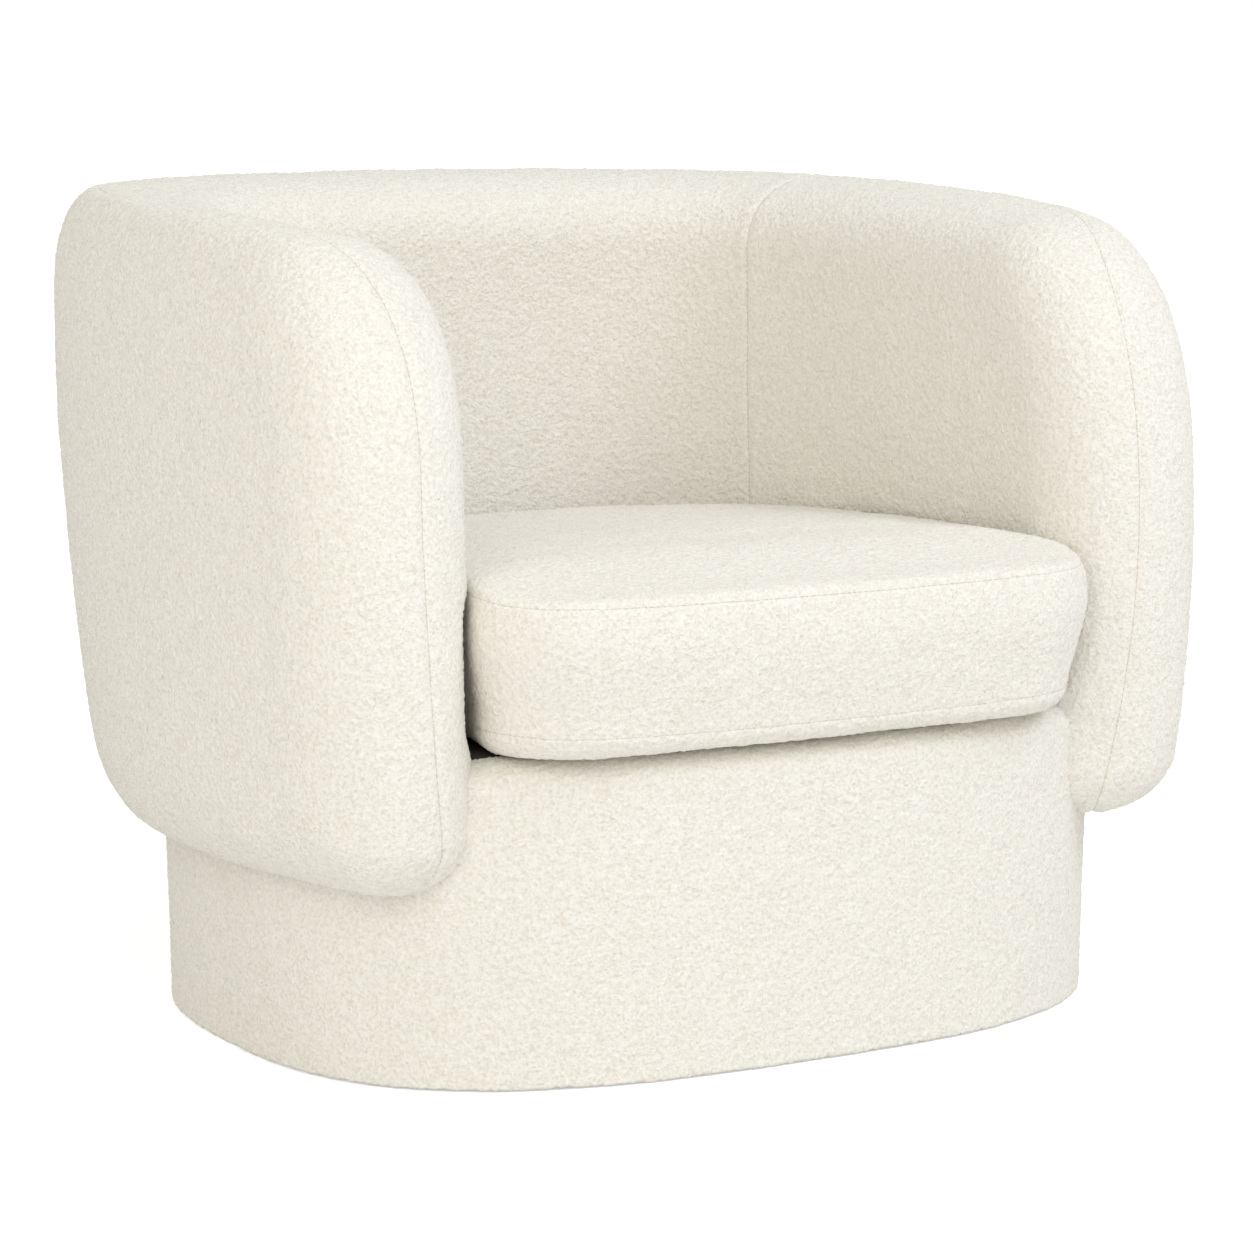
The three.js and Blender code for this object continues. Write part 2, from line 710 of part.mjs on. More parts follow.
const coverInside = plinthBlock(coverThickness, -cutOverrun, plinthTop - coverThickness);
const deckOpening = new THREE.BoxGeometry(2 * plinthHalfWidth, 2 * plinthHalfDepth, 2 * cutOverrun)
  .translate(0, deckLip, plinthTop);
const coverBlock = cut(plinthBlock(0, glideHeight, plinthTop), coverInside, deckOpening);
const foamWall = plinthWall(foamInset, foamInset + plinthFoam, ringUnderside, deckTop);
const boardWall = plinthWall(boardInset, boardInset + boardThickness, ringUnderside, deckTop);
place(frameGroup, "plinth_cover", cut(coverBlock, shellCutter, ...spacerHoles), cloth);
place(frameGroup, "plinth_foam", cut(foamWall, shellCutter, ...spacerHoles), foam);
place(frameGroup, "plinth_board", cut(boardWall, shellCutter, ...spacerHoles), board);
place(frameGroup, "dust_cover",
  plate(ovalOutline(foamInset, glideHeight), glideHeight + fitGap, dustClothThickness), liner);

function ovalRing(name, underside, width) {
  const hole = ovalOutline(frameInset + width, underside).reverse();
  place(frameGroup, name, plate(ovalOutline(frameInset, underside), underside, plyThickness, [hole]), ply);
}
ovalRing("base_bottom_ring", ringUnderside, ringWidth);
ovalRing("base_platform", platformTop - plyThickness, platformWidth);

const postFoot = ringUnderside + plyThickness + fitGap;
const postHead = platformTop - plyThickness - fitGap;
for (let i = 0; i < basePostCount; i++) {
  const turn = ((i + 0.5) * fullTurn) / basePostCount;
  const at = ovalPoint(turn, frameInset + ringWidth / 2, postFoot);
  const next = ovalPoint(turn + shareStep, frameInset + ringWidth / 2, postFoot);
  const post = new THREE.BoxGeometry(basePostWidth, basePostWidth, postHead - postFoot);
  const mesh = place(frameGroup, `base_post_${i + 1}`, post, timber);
  mesh.position.set(at.x, at.y, (postFoot + postHead) / 2);
  mesh.rotation.z = Math.atan2(next.y - at.y, next.x - at.x);
}

// Round nail glides carry the chair.
for (let i = 0; i < glideCount; i++) {
  const at = ovalPoint(((i + 0.5) * fullTurn) / glideCount, frameInset + ringWidth / 2, 0);
  const profile = [
    new THREE.Vector2(0, 0),
    new THREE.Vector2(glideRadius - glideHeight / 2, 0),
    new THREE.Vector2(glideRadius, glideHeight / 2),
    new THREE.Vector2(glideRadius, glideHeight),
    new THREE.Vector2(0, glideHeight),
  ];
  const glide = new THREE.LatheGeometry(profile, glideSides).rotateX(quarterTurn);
  place(frameGroup, `glide_${i + 1}`, glide, nylon).position.set(at.x, at.y, 0);
}

// Seat platform: four rails, a curved nosing in front, sinuous springs, a pad and a stretched cloth

const railFoot = platformTop + fitGap;
const railTop = railFoot + seatRailHeight;
const boxDepth = seatBoxBack - seatBoxFront;

function seatRail(name, width, depth, x, y) {
  const rail = new THREE.BoxGeometry(width, depth, seatRailHeight);
  place(frameGroup, name, rail, timber).position.set(x, y, (railFoot + railTop) / 2);
}
const frontRailY = seatBoxFront + seatRailThickness / 2;
const backRailY = seatBoxBack - seatRailThickness / 2;
seatRail("seat_rail_front", 2 * seatBoxHalfWidth, seatRailThickness, 0, frontRailY);
seatRail("seat_rail_back", 2 * seatBoxHalfWidth, seatRailThickness, 0, backRailY);
const sideRailLength = boxDepth - 2 * (seatRailThickness + fitGap);
const sideRailX = seatBoxHalfWidth - seatRailThickness / 2;
seatRail("seat_rail_left", seatRailThickness, sideRailLength, -sideRailX, (seatBoxFront + seatBoxBack) / 2);
seatRail("seat_rail_right", seatRailThickness, sideRailLength, sideRailX, (seatBoxFront + seatBoxBack) / 2);

const nosingBlock = plinthBlock(frameInset, railTop - nosingThickness, railTop);
const behindNosing = new THREE.BoxGeometry(2 * plinthHalfWidth, 2 * plinthHalfDepth, 2 * plinthTop)
  .translate(0, seatBoxFront - fitGap + plinthHalfDepth, plinthTop);
place(frameGroup, "seat_nosing", cut(nosingBlock, behindNosing, shellCutter), ply);

// A sinuous spring lies as cross bars joined by half circles, with its middle arched upwards.
function springPath() {
  const start = seatBoxFront + seatRailThickness / 2;
  const end = seatBoxBack - seatRailThickness / 2;
  const bars = Math.floor((end - start) / springPitch);
  const bend = (end - start) / bars / 2;
  const barHalf = springHalfWidth - bend;
  const points = [];
  for (let k = 0; k <= bars; k++) {
    const side = k % 2 ? 1 : -1;
    const y = start + k * 2 * bend;
    points.push([-side * barHalf, y], [side * barHalf, y]);
    if (k === bars) break;
    for (const turn of bendShares.map((share) => share * Math.PI)) {
      points.push([side * (barHalf + bend * Math.sin(turn)), y + bend * (1 - Math.cos(turn))]);
    }
  }
  const arch = (y) => springCrown * Math.sin((Math.PI * (y - start)) / (end - start));
  return points.map(([x, y]) => new THREE.Vector3(x, y, railTop + fitGap + springWireRadius + arch(y)));
}

function wireAlong(points) {
  const up = new THREE.Vector3(0, 0, 1);
  const rings = points.map((point, i) => {
    const before = points[Math.max(i - 1, 0)];
    const after = points[Math.min(i + 1, points.length - 1)];
    const side = after.clone().sub(before).cross(up).normalize();
    return Array.from({ length: wireSides }, (_, k) => {
      const turn = (k * fullTurn) / wireSides;
      return point.clone()
        .addScaledVector(side, springWireRadius * Math.cos(turn))
        .addScaledVector(up, springWireRadius * Math.sin(turn));
    });
  });
  return stackOf(rings, points[0], points[points.length - 1]);
}

// The least clear space between two bars of one wire, which have a bend of points between them.
function leastSelfGap(points) {
  const apart = bendShares.length + 2;
  let least = Infinity;
  for (let i = 0; i < points.length; i++) {
    for (let j = i + apart; j < points.length; j++) {
      least = Math.min(least, points[i].distanceTo(points[j]));
    }
  }
  return least - 2 * springWireRadius;
}

const wire = springPath();
const springSpacing = (2 * (seatBoxHalfWidth - springSideInset)) / (springCount - 1);
console.log(`least gap of a spring to itself: ${leastSelfGap(wire).toFixed(1)} mm`);
for (let i = 0; i < springCount; i++) {
  const spring = place(frameGroup, `seat_spring_${i + 1}`, wireAlong(wire), steel);
  spring.position.x = (i - (springCount - 1) / 2) * springSpacing;
}

const padBlock = plinthBlock(frameInset, deckTop - deckPadThickness, deckTop);
place(frameGroup, "deck_pad", cut(padBlock, shellCutter), foam);
const deckCloth = plinthBlock(foamInset, deckTop + fitGap, deckTop + fitGap + deckClothThickness);
const lipCut = new THREE.BoxGeometry(2 * plinthHalfWidth, 2 * plinthHalfDepth, 2 * cutOverrun)
  .translate(0, deckLip - 2 * plinthHalfDepth + fitGap, deckTop);
place(frameGroup, "deck_cloth", cut(deckCloth, lipCut, shellCutter), liner);

// Shell skins, paddings and covers

const foamDepth = coverThickness + foamGap;
const foamTop = coverThickness + fitGap / 2;
const outerBoardDepth = foamDepth + outerFoam + boardGap;
const innerBoardDepth = foamDepth + innerFoam + boardGap;
const boardShape = { edge: boardEdge, rows: boardRows };
place(frameGroup, "shell_outer_board",
  wallLayer(1, outerBoardDepth, outerBoardDepth + boardThickness, boardShape), board);
place(frameGroup, "shell_inner_board",
  wallLayer(-1, innerBoardDepth, innerBoardDepth + boardThickness, boardShape), board);

place(frameGroup, "shell_outer_foam",
  cut(wallLayer(1, foamDepth, foamDepth + outerFoam), wallLayer(1, 0, foamTop), ...frameCutters), foam);
place(frameGroup, "shell_outer_cover", wallLayer(1, 0, coverThickness), cloth);

// The inside is sewn from three panels that meet at two upright seams.
const insidePanels = [
  ["left", [0, armColumns]],
  ["back", [armColumns, lastColumn - armColumns]],
  ["right", [lastColumn - armColumns, lastColumn]],
];
for (const [word, reach] of insidePanels) {
  const padding = wallLayer(-1, foamDepth, foamDepth + innerFoam, { reach });
  const underCover = wallLayer(-1, 0, foamTop, { reach });
  place(frameGroup, `inside_foam_${word}`, cut(padding, underCover, ...frameCutters, ...spacerHoles), foam);
  const cover = wallLayer(-1, 0, coverThickness, { reach });
  place(frameGroup, `inside_cover_${word}`, cut(cover, ...spacerHoles), cloth);
}

// Seat cushion: its plan follows the inside of the shell with a clearance and runs out in front of
// the arms to rounded front corners.

function cushionHalfPlan() {
  const reach = wallHalf + cushionClearance;
  const inside = (share, height) =>
    pathPoint(share, height).addScaledVector(pathFrame(share, height).out, -reach).setZ(0);
  const points = [];
  for (let i = 0; i <= cushionSideSteps; i++) {
    const share = (i / cushionSideSteps) * cushionSideShare;
    const [low, high] = [inside(share, cushionBase), inside(share, highHeight)];
    points.push(low.length() < high.length() ? low : high);
  }
  const cornerX = cushionHalfWidth - cushionCornerRadius;
  const cornerY = cushionFront + cushionCornerRadius;
  const frontSlope = (2 * cushionFrontBow) / cornerX;
  const cornerTurn = quarterTurn - Math.atan(frontSlope);
  for (let i = 0; i <= cushionCornerSteps; i++) {
    const turn = (i / cushionCornerSteps) * cornerTurn;
    points.push(new THREE.Vector3(
      cornerX + cushionCornerRadius * Math.cos(turn), cornerY - cushionCornerRadius * Math.sin(turn), 0));
  }
  const edge = points[points.length - 1];
  for (let i = 1; i <= cushionFrontSteps; i++) {
    const x = edge.x * (1 - i / cushionFrontSteps);
    const bow = (frontSlope * (edge.x ** 2 - x ** 2)) / (2 * edge.x);
    points.push(new THREE.Vector3(x, edge.y - bow, 0));
  }
  return points;
}

const halfPlan = cushionHalfPlan();
const otherHalf = halfPlan.slice(1, -1).reverse().map((p) => new THREE.Vector3(-p.x, p.y, 0));
const cushionPlan = [...halfPlan, ...otherHalf];
const cushionBack = halfPlan[0].y;
const cushionMiddleY = (cushionBack + cushionFront) / 2;
const cushionHalfDepth = (cushionBack - cushionFront) / 2;

// A loop round the cushion at one height, drawn in from its plan and at most to its middle.
function cushionLoop([inset, height]) {
  const t = inset / cushionHalfWidth;
  const acrossShare = 1 - t;
  const deepShare = 1 - inset / lerp(cushionHalfDepth, cushionHalfWidth, t);
  return cushionPlan.map((p) =>
    new THREE.Vector3(p.x * acrossShare, cushionMiddleY + (p.y - cushionMiddleY) * deepShare, height));
}

// Profiles run from the foot of a panel to its head as an inset and a height. The boxing swells
// between its seams, the top rises from its seam to the crown, and the base has a rounded edge.
const boxingProfile = boxingShares.map((t) => [
  cushionSeamDraw + cushionSideSwell * (1 - Math.sin(Math.PI * t)),
  lerp(cushionBottomSeam, cushionTopSeam, t),
]);
const seamInset = boxingProfile[0][0];
const crownProfile = crownShares.map((t) => [
  lerp(seamInset, cushionHalfWidth, t),
  cushionTopSeam + (cushionCrownHeight - cushionTopSeam) * roundedRise(t, cushionCrownPower),
]);
const baseProfile = baseShares.map((t) => [
  seamInset + cushionEdgeRound * (1 - Math.cos(t * quarterTurn)),
  cushionBottomSeam - (cushionBottomSeam - cushionBase) * Math.sin(t * quarterTurn),
]);
baseProfile.unshift([cushionHalfWidth, cushionBase]);

// The same profile a depth further inside the cushion. At a seam the depth runs level.
function profileInside(profile, depth) {
  return profile.map((point, i) => {
    const before = profile[Math.max(i - 1, 0)];
    const after = profile[Math.min(i + 1, profile.length - 1)];
    const run = new THREE.Vector2(after[0] - before[0], after[1] - before[1]).normalize();
    const atEnd = i === 0 || i === profile.length - 1;
    if (atEnd && point[0] === seamInset) run.set(0, 1);
    if (atEnd && point[0] === cushionHalfWidth) run.set(point[1] > cushionTopSeam ? 1 : -1, 0);
    return [Math.min(point[0] + depth * run.y, cushionHalfWidth), point[1] - depth * run.x];
  });
}

// A sewn panel, whose edges keep half a gap from each seam.
function cushionPanel(name, profile) {
  const low = profile[0][0] === seamInset ? fitGap / 2 : 0;
  const high = profile[profile.length - 1][0] === seamInset ? -fitGap / 2 : 0;
  const grid = (depth) => {
    const loops = profileInside(profile, depth).map(([inset, height], i, all) =>
      cushionLoop([inset, height + (i === 0 ? low : i === all.length - 1 ? high : 0)]));
    return cushionPlan.map((_, k) => loops.map((loop) => loop[k]));
  };
  place(cushionGroup, name, sheetBetween(grid(0), grid(cushionCover), true), cloth);
}
cushionPanel("cushion_top_panel", crownProfile);
cushionPanel("cushion_boxing", boxingProfile);
cushionPanel("cushion_bottom_panel", baseProfile);

const wholeProfile = [...baseProfile, ...boxingProfile.slice(1, -1), ...crownProfile];
const coreProfile = profileInside(wholeProfile, cushionCover + 2 * fitGap);
const [coreFoot, coreHead] = [coreProfile.shift(), coreProfile.pop()]
  .map(([, height]) => new THREE.Vector3(0, cushionMiddleY, height));
place(cushionGroup, "cushion_core", stackOf(coreProfile.map(cushionLoop), coreFoot, coreHead), foam);

// The origin is on the floor below the middle of the whole chair.
const extent = new THREE.Box3().setFromObject(chair);
chair.position.y = -(extent.min.y + extent.max.y) / 2;

export default chair;
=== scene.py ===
import json
import math
import bpy
import numpy as np
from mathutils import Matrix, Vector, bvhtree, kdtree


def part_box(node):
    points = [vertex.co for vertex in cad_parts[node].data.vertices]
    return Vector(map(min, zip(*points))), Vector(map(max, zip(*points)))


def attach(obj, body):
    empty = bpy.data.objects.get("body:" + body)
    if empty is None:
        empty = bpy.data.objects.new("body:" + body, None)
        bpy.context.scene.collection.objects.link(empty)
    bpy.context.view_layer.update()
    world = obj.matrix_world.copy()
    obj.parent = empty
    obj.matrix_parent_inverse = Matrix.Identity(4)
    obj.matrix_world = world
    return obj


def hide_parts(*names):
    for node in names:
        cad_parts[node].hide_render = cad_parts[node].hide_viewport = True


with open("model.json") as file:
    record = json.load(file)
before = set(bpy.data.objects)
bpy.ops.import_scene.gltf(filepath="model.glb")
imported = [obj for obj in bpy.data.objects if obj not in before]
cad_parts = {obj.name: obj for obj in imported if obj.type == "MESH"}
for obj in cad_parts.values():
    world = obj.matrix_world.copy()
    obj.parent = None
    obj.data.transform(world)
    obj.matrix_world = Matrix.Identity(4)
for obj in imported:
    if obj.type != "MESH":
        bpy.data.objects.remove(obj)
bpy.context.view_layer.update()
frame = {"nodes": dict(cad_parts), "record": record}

low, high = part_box("base_bottom_ring")
yShift = (low.y + high.y) / 2  # the plinth's middle, from which the plans are drawn
mm = 0.001
shareStep = 1e-3  # the small step over which directions are taken
farOff = 1.0  # a distance at which no seam shows


# Shell plan and outline, as the frame was made

shell = {
    "refHeights": (0.200, 0.700),  # where the plan sizes below hold
    "halfWidth": (0.400, 0.3895, 0.0015),  # low, high and swell between them
    "backDepth": (0.335, 0.429, 0.047),
    "backPower": (2.55, 3.5, 0.0),
    "armLength": (0.295, 0.279, 0.023),
    "armTurnIn": (0.0535, 0.0305, -0.0175),
    "centreY": 0.007,
    "backShare": 0.62,
    "topHeights": (0.756, 0.716),  # back, arm tip
    "footHeights": (0.1855, 0.172),
    "cornerLength": 0.151,
    "cornerDrop": 0.195,
    "cornerPower": 2.37,
    "footRadius": 0.052,
    "wallHalf": 0.0815,
    "crest": (0.041, -0.008),  # how far the sewn crest stands out, back and tip
    "crestStart": 0.45,
    "crestPower": 2.27,
    "outerRound": (0.087, 2.17),
    "innerRound": (0.078, 2.35),  # as the frame's, but with an easier run into the wall
    "tapeHeight": 0.45,  # where lengths along the wall are measured
    "seamShare": 0.36,  # the upright seams between back panel and side panels
    "backCutShare": 0.39,  # where the outer cover is cut into back and arms
    "armGuess": 0.29,  # an arm's length, for the first guess of a point's place along the wall
    "columns": 340,
    "rows": 110,
    "voxel": 2.35 * mm,
    "smoothRounds": 4,
}


def swelling(sizes, height):
    start, end = shell["refHeights"]
    t = (height - start) / (end - start)
    return sizes[0] + (sizes[1] - sizes[0]) * t + 4 * sizes[2] * t * (1 - t)


def pathPoint(share, height):  # middle of the wall in plan, share 0 at the back and 1 at an arm's tip
    far = np.abs(share)
    halfWidth = swelling(shell["halfWidth"], height)
    depth = swelling(shell["backDepth"], height)
    power = swelling(shell["backPower"], height)
    turn = np.minimum(far / shell["backShare"], 1) * math.pi / 2
    sine, cosine = np.sin(turn), np.maximum(np.cos(turn), 0)
    radius = ((sine / halfWidth) ** power + (cosine / depth) ** power) ** (-1 / power)
    along = np.maximum(far - shell["backShare"], 0) / (1 - shell["backShare"])
    onArm = far > shell["backShare"]
    armX = halfWidth - swelling(shell["armTurnIn"], height) * along**2
    x = np.where(onArm, armX, radius * sine)
    y = np.where(onArm, -swelling(shell["armLength"], height) * along, radius * cosine)
    return np.where(share < 0, -x, x), y + shell["centreY"] + yShift


def pathFrame(share, height):  # unit directions along the path and out of the shell
    xAhead, yAhead = pathPoint(share + shareStep, height)
    xBehind, yBehind = pathPoint(share - shareStep, height)
    dx, dy = xAhead - xBehind, yAhead - yBehind
    length = np.hypot(dx, dy)
    return dx / length, dy / length, -dy / length, dx / length, length / (2 * shareStep)


def lengthsAlong(line):
    return np.r_[0, np.cumsum(np.linalg.norm(np.diff(line, axis=0), axis=1))]


tapeShares = np.linspace(0, 1, 241)
tape = lengthsAlong(np.c_[pathPoint(tapeShares, shell["tapeHeight"])])
tipDistance = tape[-1]


def distanceAt(share):
    return np.sign(share) * np.interp(np.abs(share), tapeShares, tape)


def shareAt(distance):
    return np.sign(distance) * np.interp(np.abs(distance), tape, tapeShares)


def levelAt(heights, distance):
    return heights[0] + (heights[1] - heights[0]) * (np.abs(distance) / tipDistance) ** 2


def topAt(distance):
    into = np.clip((np.abs(distance) - tipDistance + shell["cornerLength"]) / shell["cornerLength"], 0, 1)
    power = shell["cornerPower"]
    drop = 1 - np.maximum(1 - into**power, 0) ** (1 / power)
    return levelAt(shell["topHeights"], distance) - shell["cornerDrop"] * drop


def footAt(distance):
    radius = shell["footRadius"]
    into = np.clip((np.abs(distance) - tipDistance + radius) / radius, 0, 1)
    return levelAt(shell["footHeights"], distance) + radius * (1 - np.sqrt(1 - into**2))


def outlineMarks(steps):
    return tipDistance * (1 - (1 - np.linspace(0, 1, steps + 1)) ** 2)


def outlineOf(steps):
    marks = outlineMarks(steps)
    top = np.c_[marks, topAt(marks)]
    foot = np.c_[marks, footAt(marks)][::-1]
    return np.r_[top, foot]


outline = outlineOf(120)


def distanceToOutline(distance, height):
    points = np.c_[np.abs(distance), height]
    start, run = outline[:-1], np.diff(outline, axis=0)
    squared = np.maximum((run**2).sum(1), 1e-18)
    least = np.empty(len(points))
    batch = 40000  # keeps the arrays small
    for first in range(0, len(points), batch):
        part = points[first:first + batch, None, :] - start
        t = np.clip((part * run).sum(2) / squared, 0, 1)
        gap = part - t[:, :, None] * run
        least[first:first + batch] = np.sqrt((gap**2).sum(2).min(1))
    return least


def crestOffset(share):
    drift = np.clip((np.abs(share) - shell["crestStart"]) / (1 - shell["crestStart"]), 0, 1)
    back, tip = shell["crest"]
    return back + (tip - back) * drift ** shell["crestPower"]


def wallOffset(side, share, edgeDistance):  # from the middle of the wall to its outer or inner face
    size, power = shell["outerRound"] if side > 0 else shell["innerRound"]
    rise = (1 - (1 - np.clip(edgeDistance / size, 0, 1)) ** power) ** (1 / power)
    crest = crestOffset(share)
    return crest + (side * shell["wallHalf"] - crest) * rise


def wallPoints(side, distance, height):
    share = shareAt(distance)
    x, y = pathPoint(share, height)
    _, _, outX, outY, _ = pathFrame(share, height)
    offset = wallOffset(side, share, distanceToOutline(distance, height))
    return np.c_[x + outX * offset, y + outY * offset, height]


def wallCoordinates(points):  # share along the path and offset from it, for points near the wall
    x, y, height = np.abs(points[:, 0]), points[:, 1], points[:, 2]
    share = np.arctan2(x, np.maximum(y - shell["centreY"] - yShift, 0)) / (math.pi / 2) * shell["backShare"]
    before = shell["centreY"] + yShift - y
    onArm = shell["backShare"] + before / shell["armGuess"] * (1 - shell["backShare"])
    share = np.where(before > 0, onArm, share)
    rounds, leastSlope, farthest = 6, 0.25, 1.3

    def ahead(s):
        px, py = pathPoint(s, height)
        alongX, alongY, _, _, speed = pathFrame(s, height)
        return (x - px) * alongX + (y - py) * alongY, speed

    for _ in range(rounds):
        miss, speed = ahead(share)
        missNext, _ = ahead(share + shareStep)
        slope = np.minimum((missNext - miss) / shareStep, -leastSlope * speed)
        share = np.clip(share - miss / slope, 0, farthest)
    px, py = pathPoint(share, height)
    _, _, outX, outY, _ = pathFrame(share, height)
    offset = (x - px) * outX + (y - py) * outY
    return np.where(points[:, 0] < 0, -share, share), offset


# Mesh helpers


def newMesh(name, verts, faces):  # a face whose last two corners are one point is a triangle
    whole = np.ones(faces.shape, bool)
    whole[:, -1] = faces[:, -1] != faces[:, -2]
    totals, corners = whole.sum(1), faces[whole]
    starts = np.r_[0, np.cumsum(totals)[:-1]]
    mesh = bpy.data.meshes.new(name)
    mesh.vertices.add(len(verts))
    mesh.vertices.foreach_set("co", np.asarray(verts, np.float32).ravel())
    mesh.loops.add(len(corners))
    mesh.loops.foreach_set("vertex_index", corners.astype(np.int32))
    mesh.polygons.add(len(faces))
    mesh.polygons.foreach_set("loop_start", starts.astype(np.int32))
    mesh.polygons.foreach_set("loop_total", totals.astype(np.int32))
    mesh.update(calc_edges=True)
    mesh.validate()
    mesh.polygons.foreach_set("use_smooth", np.ones(len(mesh.polygons), bool))
    return mesh


def newObject(name, mesh, material=None):
    made = bpy.data.objects.new(name, mesh)
    bpy.context.scene.collection.objects.link(made)
    if material:
        mesh.materials.append(material)
    return made


def meshArrays(mesh):
    verts = np.empty(len(mesh.vertices) * 3, np.float32)
    mesh.vertices.foreach_get("co", verts)
    total = np.empty(len(mesh.polygons), np.int32)
    mesh.polygons.foreach_get("loop_total", total)
    loops = np.empty(len(mesh.loops), np.int32)
    mesh.loops.foreach_get("vertex_index", loops)
    starts = np.r_[0, np.cumsum(total)[:-1]]
    quads = loops[starts[total == 4][:, None] + np.arange(4)]
    triangles = loops[starts[total == 3][:, None] + np.arange(3)]
    if len(triangles):
        quads = np.r_[quads, np.c_[triangles, triangles[:, 2]]]
    return verts.reshape(-1, 3).astype(float), quads


def gridFaces(index):
    return np.stack([index[:-1, :-1], index[:-1, 1:], index[1:, 1:], index[1:, :-1]], -1).reshape(-1, 4)


def ringFaces(around, rows):  # faces between closed loops of points, and the numbers of the points
    index = np.arange(around * rows).reshape(rows, around)
    index = np.c_[index, index[:, 0]]
    return gridFaces(index), index


def evaluated(thing):  # points and faces after the modifiers, and the object gone
    depsgraph = bpy.context.evaluated_depsgraph_get()
    mesh = bpy.data.meshes.new_from_object(thing.evaluated_get(depsgraph))
    arrays = meshArrays(mesh)
    bpy.data.objects.remove(thing)
    bpy.data.meshes.remove(mesh)
    return arrays


def voxelSkin(verts, faces, voxel):
    thing = newObject("blank", newMesh("blank", verts, faces))
    remesh = thing.modifiers.new("skin", "REMESH")
    remesh.mode = "VOXEL"
    remesh.voxel_size = voxel
    return evaluated(thing)


def spread(faces, values, count):  # sums a value per face onto its vertices
    total = np.zeros((count, values.shape[1]))
    for corner in range(faces.shape[1]):
        for axis in range(values.shape[1]):
            total[:, axis] += np.bincount(faces[:, corner], values[:, axis], count)
    return total


def normalsOf(verts, quads):
    diagonals = verts[quads[:, 2]] - verts[quads[:, 0]], verts[quads[:, 3]] - verts[quads[:, 1]]
    normals = spread(quads, np.cross(*diagonals), len(verts))
    return normals / np.maximum(np.linalg.norm(normals, axis=1), 1e-12)[:, None]


def smoothed(verts, quads, rounds, share=0.5):
    count = len(verts)
    ends = np.r_[quads[:, [0, 1]], quads[:, [1, 2]], quads[:, [2, 3]], quads[:, [3, 0]]]
    weight = np.maximum(np.bincount(ends.ravel(), minlength=count), 1)
    for _ in range(rounds):
        middle = np.empty_like(verts)
        for axis in range(verts.shape[1]):
            middle[:, axis] = np.bincount(ends[:, 0], verts[ends[:, 1], axis], count)
            middle[:, axis] += np.bincount(ends[:, 1], verts[ends[:, 0], axis], count)
        verts = verts + share * (middle / weight[:, None] - verts)
    return verts


def smoothStep(value):
    t = np.clip(value, 0, 1)
    return t * t * (3 - 2 * t)


# Looped cloth: short curls standing on the surface, laid out by chance but the same on each run

boucle = {
    "cell": 4.4 * mm,  # about one curl in each cell
    "radius": 2.7 * mm,
    "stretch": 1.9,  # how many times longer than wide a curl is
    "height": 1.85 * mm,
    "lowest": 0.45,  # height of the flattest curl, as a share of the highest
    "unevenness": 0.5 * mm,  # the slow rise and fall of the padding below
    "unevenWaves": (0.09, 0.043),
    "unevenSpread": 1.7,
    "unevenScale": 6,
    "seed": 11,
}
chance = np.random.default_rng(boucle["seed"])
chanceTable = chance.random((65536, 7))
slowWaves = chance.normal(size=(18, 3))
slowPhases = chance.random(18) * 2 * math.pi


def chanceOf(cells):
    key = cells[:, 0] * 73856093 ^ cells[:, 1] * 19349663 ^ cells[:, 2] * 83492791
    return chanceTable[key & 65535]


def curlHeights(points):
    scaled = points / boucle["cell"]
    size = boucle["radius"] / boucle["cell"]
    squeeze = 1 - 1 / boucle["stretch"] ** 2
    heights = np.zeros(len(points))
    batch = 150000
    for first in range(0, len(points), batch):
        part = scaled[first:first + batch]
        home = np.floor(part).astype(np.int64)
        best = np.zeros(len(part))
        for shiftX in (-1, 0, 1):
            for shiftY in (-1, 0, 1):
                for shiftZ in (-1, 0, 1):
                    cells = home + (shiftX, shiftY, shiftZ)
                    luck = chanceOf(cells)
                    away = part - cells - luck[:, :3]
                    lie = luck[:, 3:6] - 0.5
                    lie /= np.linalg.norm(lie, axis=1)[:, None] + 1e-9
                    along = (away * lie).sum(1)
                    squared = (away**2).sum(1) - squeeze * along**2
                    dome = np.clip(1 - squared / size**2, 0, 1)
                    dome *= boucle["lowest"] + (1 - boucle["lowest"]) * luck[:, 6]
                    np.maximum(best, dome, out=best)
        heights[first:first + batch] = best
    return heights


def slowSwell(points):
    total = np.zeros(len(points))
    for wave, phase in zip(slowWaves, slowPhases):
        for length, share in zip(boucle["unevenWaves"], (1, 0.5)):
            total += share * np.sin(points @ wave * (2 * math.pi / length / boucle["unevenSpread"]) + phase)
    return total / boucle["unevenScale"]


seamLook = {
    "depth": 2.0 * mm,
    "width": 2.3 * mm,
    "puff": 0.7 * mm,
    "puffAway": 9 * mm,
    "puffWidth": 6 * mm,
    "stitch": 6 * mm,
    "stitchShare": 0.3,
    "calm": 0.75,  # how far a seam flattens the curls beside it
    "calmReach": 1.5,  # in widths of the groove
}


def seamRelief(away, along, strength):
    near = np.abs(away)
    stitch = 1 - seamLook["stitchShare"] * (0.5 + 0.5 * np.cos(2 * math.pi * along / seamLook["stitch"]))
    groove = -seamLook["depth"] * stitch * np.exp(-((near / seamLook["width"]) ** 2))
    puff = seamLook["puff"] * np.exp(-(((near - seamLook["puffAway"]) / seamLook["puffWidth"]) ** 2))
    return strength * (groove + puff)


